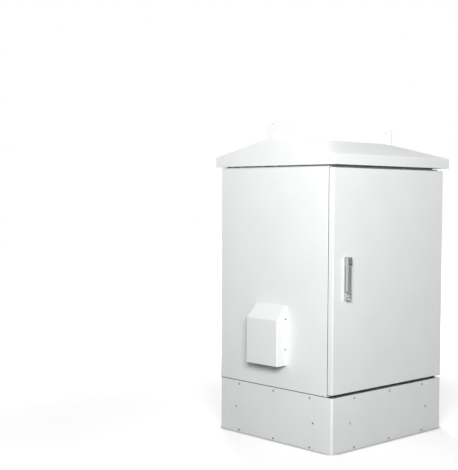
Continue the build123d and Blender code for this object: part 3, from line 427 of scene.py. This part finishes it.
class CabinetStage(bpy.types.PropertyGroup):
    """Camera, lamps and floor."""
    heading: bpy.props.FloatProperty(
        name="Camera heading", description="Direction the camera looks, from +Y towards +X",
        default=math.radians(42.97), subtype="ANGLE")
    pitch: bpy.props.FloatProperty(
        name="Camera pitch", description="How far the camera looks down", default=math.radians(2.16),
        subtype="ANGLE")
    roll: bpy.props.FloatProperty(
        name="Camera roll", description="Turn of the camera round its own axis", default=math.radians(0.30),
        subtype="ANGLE")
    place: bpy.props.FloatVectorProperty(
        name="Camera place", description="Where the camera stands", default=(-2.981, -2.603, 0.910),
        subtype="TRANSLATION", unit="LENGTH")
    focal_pixels: bpy.props.FloatProperty(
        name="Focal length in pixels", description="Focal length over the size of one pixel", default=999.0)
    key_power: bpy.props.FloatProperty(
        name="Key lamp", description="Power of the soft lamp by the camera", default=197.0, min=0.0,
        unit="POWER")
    top_power: bpy.props.FloatProperty(
        name="Top lamp", description="Power of the soft lamp over the roof", default=4.0, min=0.0,
        unit="POWER")
    back_power: bpy.props.FloatProperty(
        name="Back lamp", description="Power of the soft lamp behind the cabinet", default=75.0, min=0.0,
        unit="POWER")
    fill_level: bpy.props.FloatProperty(
        name="Fill level", description="Brightness of the light from all round", default=0.26, min=0.0)
    floor_colour: bpy.props.FloatVectorProperty(
        name="Floor colour", description="Colour of the light that the floor throws back",
        default=linear("7C7C7C"), size=4, subtype="COLOR")
    floor_lift: bpy.props.FloatProperty(
        name="Floor lift", description="Brightness added where the floor is seen", default=0.25, min=0.0)


# Pieces

class CABINET_OT_painted_sheet(bpy.types.Operator):
    """Paint the plinth, body, door, roof, hoods and rack profiles"""
    bl_idname = "cabinet.painted_sheet"
    bl_label = "Painted sheet"

    def execute(self, context):
        dress(["plinth_posts", "plinth_panels", "side_panel_left", "side_panel_right", "rear_panel",
               "front_frame", "floor_plate", "gland_plate", "top_deck", "roof", "roof_bearers",
               "intake_hood", "exhaust_hood", "door_skin", "depth_channels", "rack_rails_front",
               "rack_rails_rear", "top_cross_channel", "cable_panel"])
        # The lugs are recorded as galvanised, but they are as pale as the roof, so they are painted here.
        dress(["lifting_lugs"], "powder_coat")
        return {"FINISHED"}


class CABINET_OT_plated_steel(bpy.types.Operator):
    """Finish the plated rings, brackets, hinges, guides, cam and rods"""
    bl_idname = "cabinet.plated_steel"
    bl_label = "Plated steel"

    def execute(self, context):
        dress(["plinth_base_ring", "plinth_top_ring", "hood_brackets", "hinge_frame_leaves",
               "hinge_door_leaves", "rod_guides", "latch_cam", "upper_rod", "lower_rod", "lock_housing",
               "panel_fixings"])
        return {"FINISHED"}


class CABINET_OT_moulded_parts(bpy.types.Operator):
    """Finish the control unit, keys, fans, filter frame, switch and base seal"""
    bl_idname = "cabinet.moulded_parts"
    bl_label = "Moulded and black parts"

    def execute(self, context):
        dress(["control_unit", "key_middle", "key_up", "key_down", "key_left", "key_right",
               "control_lights", "fan_housing", "fan_rotor_front", "fan_rotor_rear", "filter_frame",
               "door_switch", "switch_plunger", "base_seal"])
        return {"FINISHED"}


def screw_profile(radius, height, socket):
    """Button head with a hexagon socket, from its seat to the socket's floor."""
    return [(0, 0, 0), (radius, 0, 0), (radius, height * 0.35, 0), (radius * 0.93, height * 0.62, 0),
            (radius * 0.8, height * 0.85, 0), (radius * 0.66, height, 0), (socket * 1.12, height, 0.4),
            (socket, height * 0.94, 1), (socket, height * 0.3, 1), (0, height * 0.25, 0)]


def shank_profile(radius, length, pitch):
    """Threaded shank drawn as rings of about the thread's pitch, from its tip to the head."""
    root, tip, under_head = radius * 0.86, radius * 0.7, -0.1
    chamfer, unthreaded = 0.6, 0.8
    count = int(length / pitch)
    points = [(0, -length, 0), (tip, -length, 0)]
    for index in range(count):
        low = -length + chamfer + index * (length - unthreaded) / count
        points += [(root, low, 0), (radius, low + 0.4 * pitch, 0)]
    return points + [(root, under_head, 0), (0, under_head, 0)]


def islands(node):
    """Corners, in millimetres, of each separate solid of a node."""
    bm = bmesh.new()
    bm.from_mesh(frame["nodes"][node].data)
    bmesh.ops.remove_doubles(bm, verts=bm.verts, dist=0.01 * MM)
    found = []
    seen = set()
    for start in bm.verts:
        if start in seen:
            continue
        seen.add(start)
        queue = [start]
        low, high = start.co.copy(), start.co.copy()
        while queue:
            vert = queue.pop()
            low = Vector(map(min, low, vert.co))
            high = Vector(map(max, high, vert.co))
            for edge in vert.link_edges:
                other = edge.other_vert(vert)
                if other not in seen:
                    seen.add(other)
                    queue.append(other)
        found.append((low / MM, high / MM))
    bm.free()
    return found


def outward_of(low, high):
    """Direction away from the cabinet's middle along a fastener's long or thin axis."""
    size = high - low
    across = min(range(3), key=lambda i: abs(size[(i + 1) % 3] - size[(i + 2) % 3]))
    middle = (low + high) / 2
    outward = Vector((0, 0, 0))
    outward[across] = 1 if middle[across] > 0 else -1
    return across, outward


class CABINET_OT_panel_screws(bpy.types.Operator):
    """Build the button-head screws of the plinth, the hoods and the rear panel"""
    bl_idname = "cabinet.panel_screws"
    bl_label = "Panel screws"

    def execute(self, context):
        head, pitch, shank_share = 2.2, 1.0, 0.52
        rear_panel_starts = 200
        for node, socket in (("plinth_screws", 2.3), ("wall_screws", 2.1)):
            bm = bmesh.new()
            for low, high in islands(node):
                across, outward = outward_of(low, high)
                if node == "wall_screws" and across == 1 and low.y < rear_panel_starts:
                    outward = Vector((0, 1 if self.on_rear_side(low, high) else -1, 0))
                middle = (low + high) / 2
                radius = (high - low)[(across + 1) % 3] / 2
                tip = high[across] if outward[across] > 0 else low[across]
                seat = middle.copy()
                seat[across] = tip - outward[across] * head
                turned(bm, seat, outward, screw_profile(radius, head, socket))
                length = (high - low)[across] - head
                if length > 1:
                    turned(bm, seat, outward, shank_profile(radius * shank_share, length, pitch), 12)
            finish_piece(node.replace("screws", "button_screws"), bm, node)
        return {"FINISHED"}

    @staticmethod
    def on_rear_side(low, high):
        """True for a hood screw on the hood's rear side."""
        hood = box_mm("intake_hood" if low.x < 0 else "exhaust_hood")
        return (low.y + high.y) / 2 > (hood[0].y + hood[1].y) / 2


# Head and nut heights, radius over the corners and shank radius of the two sizes of hexagon bolt
BODY_BOLT = {"head": 6.4, "nut": 8.0, "corner": 9.2, "radius": 5.0}
RAIL_BOLT = {"head": 4.0, "nut": 5.0, "corner": 5.7, "radius": 3.0}


class CABINET_OT_hexagon_bolts(bpy.types.Operator):
    """Build the hexagon bolts of the body, the lugs and the rack rails"""
    bl_idname = "cabinet.hexagon_bolts"
    bl_label = "Hexagon bolts"

    def execute(self, context):
        floor_nut_tip, lug_nut_tip, rail_nut_tip = 14, 10, 7
        bm = bmesh.new()
        for low, high in islands("hex_bolts"):
            size = high - low
            middle = (low + high) / 2
            if size.z > size.x:
                top = Vector((middle.x, middle.y, high.z))
                self.bolt(bm, top, Vector((0, 0, 1)), size.z, floor_nut_tip, **BODY_BOLT)
            else:
                sign = 1 if middle.x > 0 else -1
                top = Vector((high.x if sign > 0 else low.x, middle.y, middle.z))
                self.bolt(bm, top, Vector((sign, 0, 0)), size.x, lug_nut_tip, **BODY_BOLT)
        finish_piece("hexagon_bolts", bm, "hex_bolts")
        bm = bmesh.new()
        for low, high in islands("rail_bolts"):
            middle = (low + high) / 2
            sign = -1 if middle.x > 0 else 1
            top = Vector((low.x if sign < 0 else high.x, middle.y, middle.z))
            self.bolt(bm, top, Vector((sign, 0, 0)), high.x - low.x, rail_nut_tip, **RAIL_BOLT)
        finish_piece("rack_rail_bolts", bm, "rail_bolts")
        return {"FINISHED"}

    @staticmethod
    def bolt(bm, top, outward, length, nut_tip, head, nut, corner, radius):
        """Adds a hexagon bolt from its top, with its thread and a nut that starts nut_tip before its end."""
        flat, pitch = corner * 0.84, 1.25
        seat = top - outward * head
        turned(bm, seat, outward, [(0, 0, 0), (flat, 0, 0), (corner, 0.4, 1), (corner, head - 0.9, 1),
                                   (flat, head - 0.1, 0), (0, head, 0)])
        turned(bm, seat, outward, shank_profile(radius, length - head, pitch), 16)
        under = top - outward * (length - nut_tip)
        turned(bm, under, -outward, [(0, 0, 0), (flat, 0, 0), (corner, 0.4, 1), (corner, nut - 0.8, 1),
                                     (flat, nut, 0), (0, nut, 0)])


def rounded_path(u, v, radius, step, plane_y):
    """Frames round a rounded rectangle in the XZ plane, as (point, sideways, outward)."""
    arcs = [((u[1] - radius, v[1] - radius), 0), ((u[0] + radius, v[1] - radius), 90),
            ((u[0] + radius, v[0] + radius), 180), ((u[1] - radius, v[0] + radius), 270)]
    points = []
    arc_steps = 8
    for (x, z), start in arcs:
        for index in range(arc_steps + 1):
            angle = math.radians(start + index * 90 / arc_steps)
            points.append((x + radius * math.cos(angle), z + radius * math.sin(angle)))
    dense = []
    for (x0, z0), (x1, z1) in zip(points, points[1:] + points[:1]):
        count = max(1, int(math.hypot(x1 - x0, z1 - z0) / step))
        dense += [(x0 + (x1 - x0) * i / count, z0 + (z1 - z0) * i / count) for i in range(count)]
    frames = []
    for index, (x, z) in enumerate(dense):
        before, after = dense[index - 1], dense[(index + 1) % len(dense)]
        along = Vector((after[0] - before[0], 0, after[1] - before[1])).normalized()
        frames.append((Vector((x, plane_y, z)), Vector((along.z, 0, -along.x)), Vector((0, 1, 0))))
    return frames


class CABINET_OT_door_seal(bpy.types.Operator):
    """Pour the door's foam seal as a crowned bead"""
    bl_idname = "cabinet.door_seal"
    bl_label = "Door seal"

    def execute(self, context):
        wobble = context.scene.cabinet_finish.foam_wobble / MM
        low, high = box_mm("door_gasket")
        half, middle, corner, step = 8.6, 8.75, 14, 6
        arc_steps, flatness = 12, 0.55
        base, foot, skin_starts = 0.05, 0.3, 1
        rise = high.y - low.y - 0.7
        path = rounded_path((low.x + middle, high.x - middle), (low.z + middle, high.z - middle), corner,
                            step, low.y)
        section = [(-half, base), (half, base)]
        for index in range(1, arc_steps):
            angle = math.pi * index / arc_steps
            crown = math.sin(angle) ** flatness
            section.append((half * math.cos(angle), foot + rise * crown))
        bm = bmesh.new()
        swept(bm, path, section)
        for vert in bm.verts:
            if vert.co.y > low.y + skin_starts:
                vert.co.y += wobble * (noise.noise(vert.co / 23) - 0.5)
        finish_piece("poured_door_seal", bm, "door_gasket", 60)
        return {"FINISHED"}


class CABINET_OT_gap_strips(bpy.types.Operator):
    """Lay black strips with the rubber finish in the gap between the door and the sides, as painted shade of
    the gap
    """
    bl_idname = "cabinet.gap_strips"
    bl_label = "Painted gap shade"

    def execute(self, context):
        width, plate, proud, below = 3.2, 1.5, 1.2, 4
        slack, outer, lift = 0.1, 0.2, 0.05
        panel_edge = box_mm("side_panel_left")[0].y
        door_low, door_high = box_mm("door_skin")
        back, front = panel_edge + plate, panel_edge - proud
        bm = bmesh.new()
        for sign in (-1, 1):
            side = sign * door_high.x
            corners = [(width, back), (plate + slack, back), (plate + slack, panel_edge - lift),
                       (outer, panel_edge - lift), (outer, front), (width, front)]
            path = [(Vector((side, 0, z)), Vector((-sign, 0, 0)), Vector((0, 1, 0)))
                    for z in (door_low.z - below, door_high.z)]
            swept(bm, path, corners, closed=False)
        # The strips are no part of the cabinet: they are painted shade in the gap between the door and the
        # sides.
        finish_piece("painted_gap_shade_strips", bm, "front_frame", slot="black_rubber", stands_for=False)
        return {"FINISHED"}


# Outlines of the two grommets as radius, height over the seat and how hexagonal they are there
FLOOR_GROMMET = [
    (0, -3.9, 0), (18.6, -3.9, 0), (19.1, -5.9, 0), (21.4, -5.9, 0), (21.9, -5.2, 0), (21.9, 0, 0),
    (25.4, 0.05, 0), (25.9, 0.6, 0), (25.9, 1.7, 0), (25.1, 2.7, 0), (23.6, 2.95, 0), (20.2, 2.95, 0),
    (19.3, 2.2, 0), (18.9, -1.5, 0), (15.2, -1.4, 0), (14.6, -2.1, 0), (10.8, -2.0, 0), (10.2, -2.7, 0),
    (6.4, -2.6, 0), (5.8, -3.2, 0), (0, -3.2, 0)]
PANEL_GROMMET = [
    (0, -3.9, 0), (10.8, -3.9, 0), (10.9, -3.4, 0), (10.9, 0, 0), (13.1, 0.05, 0), (13.4, 0.5, 0),
    (13.4, 1.3, 0), (12.9, 1.9, 0), (10.2, 1.9, 0), (9.3, 1.5, 0), (9.0, 0.3, 0), (6.6, 0.2, 0),
    (6.1, -0.5, 0), (3.6, -0.5, 0), (3.1, -1.1, 0), (0, -1.1, 0)]


class CABINET_OT_cable_grommets(bpy.types.Operator):
    """Mould the stepped rubber grommets of the floor and the cable panel"""
    bl_idname = "cabinet.cable_grommets"
    bl_label = "Cable grommets"

    def execute(self, context):
        floor_rim, panel_rim = 3, 2
        bm = bmesh.new()
        for low, high in islands("rubber_grommets"):
            size = high - low
            middle = (low + high) / 2
            if size.z < size.x * 0.5:
                turned(bm, Vector((middle.x, middle.y, high.z - floor_rim)), (0, 0, 1), FLOOR_GROMMET, 48)
            else:
                turned(bm, Vector((middle.x, low.y + panel_rim, middle.z)), (0, -1, 0), PANEL_GROMMET, 36)
        finish_piece("stepped_grommets", bm, "rubber_grommets")
        return {"FINISHED"}


class CABINET_OT_fan_guards(bpy.types.Operator):
    """Bend the fan guards from wire rings and spokes"""
    bl_idname = "cabinet.fan_guards"
    bl_label = "Fan guards"

    def execute(self, context):
        wire, wire_sides, ring_steps, clearance = 0.72, 8, 48, 0.02
        ring_radii, spoke_start, corner_gap = (12, 18, 24, 30, 35.5), 8, 0.6
        bm = bmesh.new()
        for low, high in islands("fan_guards"):
            middle = (low + high) / 2
            for radius in ring_radii:
                path = []
                for index in range(ring_steps):
                    angle = math.tau * index / ring_steps
                    spoke = Vector((0, math.cos(angle), math.sin(angle)))
                    centre = Vector((low.x + wire + clearance, middle.y, middle.z)) + spoke * radius
                    path.append((centre, spoke, Vector((1, 0, 0))))
                swept(bm, path, circle(wire, wire_sides))
            reach = (high.y - low.y) / 2 - corner_gap
            for y, z in ((1, 1), (1, -1), (-1, 1), (-1, -1)):
                along = Vector((0, y, z))
                side = Vector((0, -z, y)).normalized()
                centre = Vector((high.x - wire - clearance, middle.y, middle.z))
                path = [(centre + along * t, side, Vector((1, 0, 0))) for t in (spoke_start, reach)]
                swept(bm, path, circle(wire, wire_sides), closed=False)
        finish_piece("wire_fan_guards", bm, "fan_guards", 60)
        return {"FINISHED"}


class CABINET_OT_filter_mat(bpy.types.Operator):
    """Lay the fleece filter mat in its frame"""
    bl_idname = "cabinet.filter_mat"
    bl_label = "Filter mat"

    def execute(self, context):
        depth = context.scene.cabinet_finish.fleece_depth / MM
        cuts, on_face, wide_lump, narrow_lump = 40, 0.01, 6, 2.3
        low, high = box_mm("filter_mat")
        bm = bmesh.new()
        solid_box(bm, low, high)
        bmesh.ops.subdivide_edges(bm, edges=bm.edges, cuts=cuts, use_grid_fill=True)
        for vert in bm.verts:
            inward = min(vert.co.x - low.x, high.x - vert.co.x)
            face = -1 if vert.co.x - low.x < high.x - vert.co.x else 1
            if inward < on_face:
                lump = noise.noise(vert.co / wide_lump) * 0.5 + noise.noise(vert.co / narrow_lump) * 0.5 + 1
                vert.co.x -= face * depth * lump
        finish_piece("fleece_mat", bm, "filter_mat", 70)
        return {"FINISHED"}


class CABINET_OT_service_lamp(bpy.types.Operator):
    """Mould the lamp's housing and its ribbed diffuser"""
    bl_idname = "cabinet.service_lamp"
    bl_label = "Service lamp"

    def execute(self, context):
        cap, round_off, ribs_start = 9, 2.5, 10
        cap_back, rib_back, inset = 2, 6, 1
        ribs, groove, rib_round = 26, 0.06, 0.42
        low, high = box_mm("service_lamp")
        bm = bmesh.new()
        solid_box(bm, low, (high.x, low.y + cap, high.z), round_off, 3)
        solid_box(bm, (low.x, low.y + cap_back, low.z), (low.x + cap, high.y, high.z), round_off, 3)
        solid_box(bm, (high.x - cap, low.y + cap_back, low.z), high, round_off, 3)
        step = (high.x - low.x - 2 * ribs_start) / ribs
        for index in range(ribs):
            left = low.x + ribs_start + index * step
            first = (left, low.y + rib_back, low.z + inset)
            last = (left + step - groove, high.y - inset, high.z - inset)
            solid_box(bm, first, last, step * rib_round, 2, 1)
        finish_piece("ribbed_lamp", bm, "service_lamp", 40, extra=("white_plastic",))
        return {"FINISHED"}


class CABINET_OT_swing_handle(bpy.types.Operator):
    """Finish the swing handle and round its cast edges"""
    bl_idname = "cabinet.swing_handle"
    bl_label = "Swing handle"

    def execute(self, context):
        weld_gap, key_share, sharp_from = 0.005 * MM, 0.5, math.radians(40)
        nodes = ["handle_base", "handle_head", "handle_lever", "key_cylinder", "key_cover"]
        dress(nodes)
        for node in nodes:
            piece = frame["nodes"][node]
            weld = piece.modifiers.new("weld", "WELD")
            weld.merge_threshold = weld_gap
            rounding = piece.modifiers.new("rounding", "BEVEL")
            rounding.width = context.scene.cabinet_finish.edge_radius * (key_share if "key" in node else 1)
            rounding.segments = 3
            rounding.limit_method = "ANGLE"
            rounding.angle_limit = sharp_from
            rounding.use_clamp_overlap = True
            rounding.harden_normals = True
        return {"FINISHED"}


# Stage

class CABINET_OT_stage(bpy.types.Operator):
    """Set up the camera, the soft studio light and the floor"""
    bl_idname = "cabinet.stage"
    bl_label = "Stage"

    def execute(self, context):
        settings = context.scene.cabinet_stage
        context.scene.view_settings.view_transform = "Standard"
        self.camera(context, settings)
        self.lamp(context, "key_lamp", (-2.55, -2.30, 1.80), (0.25, -0.80, 3.20), 1.5, settings.key_power)
        self.lamp(context, "top_lamp", (0.0, 0.0, 3.2), (0.0, 0.0, 0.6), 2.0, settings.top_power)
        # The back lamp stands beside the roof's mirror direction, or its glare would whiten the slope.
        self.lamp(context, "back_lamp", (2.08, 2.78, 1.9), (0.0, 0.0, 0.9), 1.5, settings.back_power)
        self.surroundings(context, settings)
        self.floor(context, settings)
        self.card(context)
        return {"FINISHED"}

    @staticmethod
    def camera(context, settings):
        """Camera at the photograph's viewing angle."""
        heading, pitch, roll = settings.heading, settings.pitch, settings.roll
        forward = Vector((math.sin(heading) * math.cos(pitch), math.cos(heading) * math.cos(pitch),
                          -math.sin(pitch)))
        right = forward.cross(Vector((0, 0, 1))).normalized()
        up = right.cross(forward)
        right, up = (right * math.cos(roll) + up * math.sin(roll),
                     up * math.cos(roll) - right * math.sin(roll))
        data = bpy.data.cameras.new("camera")
        data.sensor_fit = "AUTO"
        data.sensor_width = SENSOR
        data.lens = settings.focal_pixels / IMAGE_SIDE * SENSOR
        data.clip_end = 100
        camera = bpy.data.objects.new("camera", data)
        context.scene.collection.objects.link(camera)
        turn = Matrix((right, up, -forward)).transposed().to_4x4()
        camera.matrix_world = Matrix.Translation(Vector(settings.place)) @ turn
        context.scene.camera = camera

    @staticmethod
    def lamp(context, name, place, target, side, power):
        """Square soft lamp aimed at a point."""
        data = bpy.data.lights.new(name, "AREA")
        data.shape = "SQUARE"
        data.size = side
        data.energy = power
        lamp = bpy.data.objects.new(name, data)
        context.scene.collection.objects.link(lamp)
        lamp.location = place
        aim = Vector(target) - Vector(place)
        lamp.rotation_euler = aim.to_track_quat("-Z", "Y").to_euler()
        lamp.visible_camera = False

    @staticmethod
    def seen_directly(tree):
        """1 for the rays that show the background: camera, glossy and transmission rays."""
        rays = add_node(tree, "ShaderNodeLightPath").outputs
        straight = add_node(tree, "ShaderNodeMath", {0: rays["Is Camera Ray"], 1: rays["Is Glossy Ray"]},
                            operation="MAXIMUM")
        return add_node(tree, "ShaderNodeMath", {0: straight.outputs[0], 1: rays["Is Transmission Ray"]},
                        operation="MAXIMUM").outputs[0]

    def surroundings(self, context, settings):
        """White background for what is seen, a pale even light for the rest."""
        world = bpy.data.worlds.new("studio")
        world.use_nodes = True
        tree = world.node_tree
        tree.nodes.clear()
        fill = add_node(tree, "ShaderNodeBackground", {
            "Color": linear("FDFEFF"), "Strength": settings.fill_level})
        white = add_node(tree, "ShaderNodeBackground", {"Color": linear("FFFFFF"), "Strength": 1.0})
        mix = add_node(tree, "ShaderNodeMixShader", {0: self.seen_directly(tree), 1: fill.outputs[0],
                                                     2: white.outputs[0]})
        add_node(tree, "ShaderNodeOutputWorld", {"Surface": mix.outputs[0]})
        context.scene.world = world

    def floor(self, context, settings):
        """Plain pale floor that keeps the cabinet's shadow, darkens with painted contact shade where it
        meets the cabinet and runs into the white background.
        """
        fade_starts, fade_ends, contact_reach = 0.9, 3.2, 40 * MM
        bm = bmesh.new()
        bmesh.ops.create_grid(bm, x_segments=8, y_segments=8, size=14)
        mesh = bpy.data.meshes.new("floor")
        bm.to_mesh(mesh)
        bm.free()
        floor = bpy.data.objects.new("floor", mesh)
        context.scene.collection.objects.link(floor)
        material = bpy.data.materials.new("painted_studio_floor")
        material.use_nodes = True
        tree = material.node_tree
        tree.nodes.clear()
        bounce = add_node(tree, "ShaderNodeBsdfDiffuse", {"Color": settings.floor_colour})
        seen = add_node(tree, "ShaderNodeBsdfDiffuse", {"Color": linear("F0F0F0")})
        place = add_node(tree, "ShaderNodeTexCoord").outputs["Object"]
        away = add_node(tree, "ShaderNodeVectorMath", {0: place}, operation="LENGTH").outputs["Value"]
        strength = add_node(tree, "ShaderNodeMapRange", {
            "Value": away, "From Min": fade_starts, "From Max": fade_ends,
            "To Min": settings.floor_lift, "To Max": 1.0}, interpolation_type="SMOOTHSTEP").outputs["Result"]
        lift = add_node(tree, "ShaderNodeEmission", {"Color": linear("FFFFFF"), "Strength": strength})
        open_floor = add_node(tree, "ShaderNodeAddShader", {0: seen.outputs[0], 1: lift.outputs[0]})
        # Painted contact shade: within 40 mm of the cabinet, ambient occlusion mixes the floor towards dark
        # grey.
        touch = add_node(tree, "ShaderNodeAmbientOcclusion", {"Distance": contact_reach},
                         samples=8).outputs["AO"]
        painted_contact_shade = add_node(tree, "ShaderNodeMapRange", {
            "Value": touch, "From Min": 0.5, "From Max": 0.85, "To Min": 0.8,
            "To Max": 0.0}).outputs["Result"]
        shade = add_node(tree, "ShaderNodeBsdfDiffuse", {"Color": linear("404040")})
        pale = add_node(tree, "ShaderNodeMixShader", {0: painted_contact_shade, 1: open_floor.outputs[0],
                                                      2: shade.outputs[0]})
        mix = add_node(tree, "ShaderNodeMixShader", {0: self.seen_directly(tree), 1: bounce.outputs[0],
                                                     2: pale.outputs[0]})
        add_node(tree, "ShaderNodeOutputMaterial", {"Surface": mix.outputs[0]})
        mesh.materials.append(material)

    @staticmethod
    def card(context):
        """Grey card before the door, hidden from the camera, that the handle's front mirrors."""
        half_width, half_height = 3.9, 1.8
        bm = bmesh.new()
        bmesh.ops.create_grid(bm, x_segments=1, y_segments=1, size=1)
        bmesh.ops.scale(bm, vec=(half_width, half_height, 1), verts=bm.verts)
        mesh = bpy.data.meshes.new("grey_card")
        bm.to_mesh(mesh)
        bm.free()
        card = bpy.data.objects.new("grey_card", mesh)
        context.scene.collection.objects.link(card)
        card.location = (-0.3, -3.0, 1.2)
        card.rotation_euler = (math.radians(90), 0, 0)
        card.visible_camera = False
        card.visible_diffuse = False
        card.visible_shadow = False
        material = bpy.data.materials.new("grey_card_board")
        material.use_nodes = True
        tree = material.node_tree
        tree.nodes.clear()
        grey = add_node(tree, "ShaderNodeEmission", {"Color": linear("888888"), "Strength": 1.0})
        add_node(tree, "ShaderNodeOutputMaterial", {"Surface": grey.outputs[0]})
        mesh.materials.append(material)


class CABINET_PT_panel(bpy.types.Panel):
    """Cabinet pieces and stage"""
    bl_label = "Cabinet"
    bl_idname = "CABINET_PT_panel"
    bl_space_type = "VIEW_3D"
    bl_region_type = "UI"
    bl_category = "Cabinet"

    def draw(self, context):
        layout = self.layout
        for settings in (context.scene.cabinet_finish, context.scene.cabinet_stage):
            for name in settings.__annotations__:
                layout.prop(settings, name)
        for operator in OPERATORS:
            layout.operator(operator.bl_idname)


OPERATORS = (
    CABINET_OT_painted_sheet,
    CABINET_OT_plated_steel,
    CABINET_OT_moulded_parts,
    CABINET_OT_panel_screws,
    CABINET_OT_hexagon_bolts,
    CABINET_OT_door_seal,
    CABINET_OT_gap_strips,
    CABINET_OT_cable_grommets,
    CABINET_OT_fan_guards,
    CABINET_OT_filter_mat,
    CABINET_OT_service_lamp,
    CABINET_OT_swing_handle,
    CABINET_OT_stage,
)
CLASSES = (CabinetFinish, CabinetStage, *OPERATORS, CABINET_PT_panel)


def register():
    for cls in CLASSES:
        bpy.utils.register_class(cls)
    bpy.types.Scene.cabinet_finish = bpy.props.PointerProperty(type=CabinetFinish)
    bpy.types.Scene.cabinet_stage = bpy.props.PointerProperty(type=CabinetStage)


def unregister():
    del bpy.types.Scene.cabinet_stage
    del bpy.types.Scene.cabinet_finish
    for cls in reversed(CLASSES):
        bpy.utils.unregister_class(cls)


def main():
    register()
    for operator in OPERATORS:
        group, name = operator.bl_idname.split(".")
        getattr(getattr(bpy.ops, group), name)()


if __name__ == "__main__":
    main()
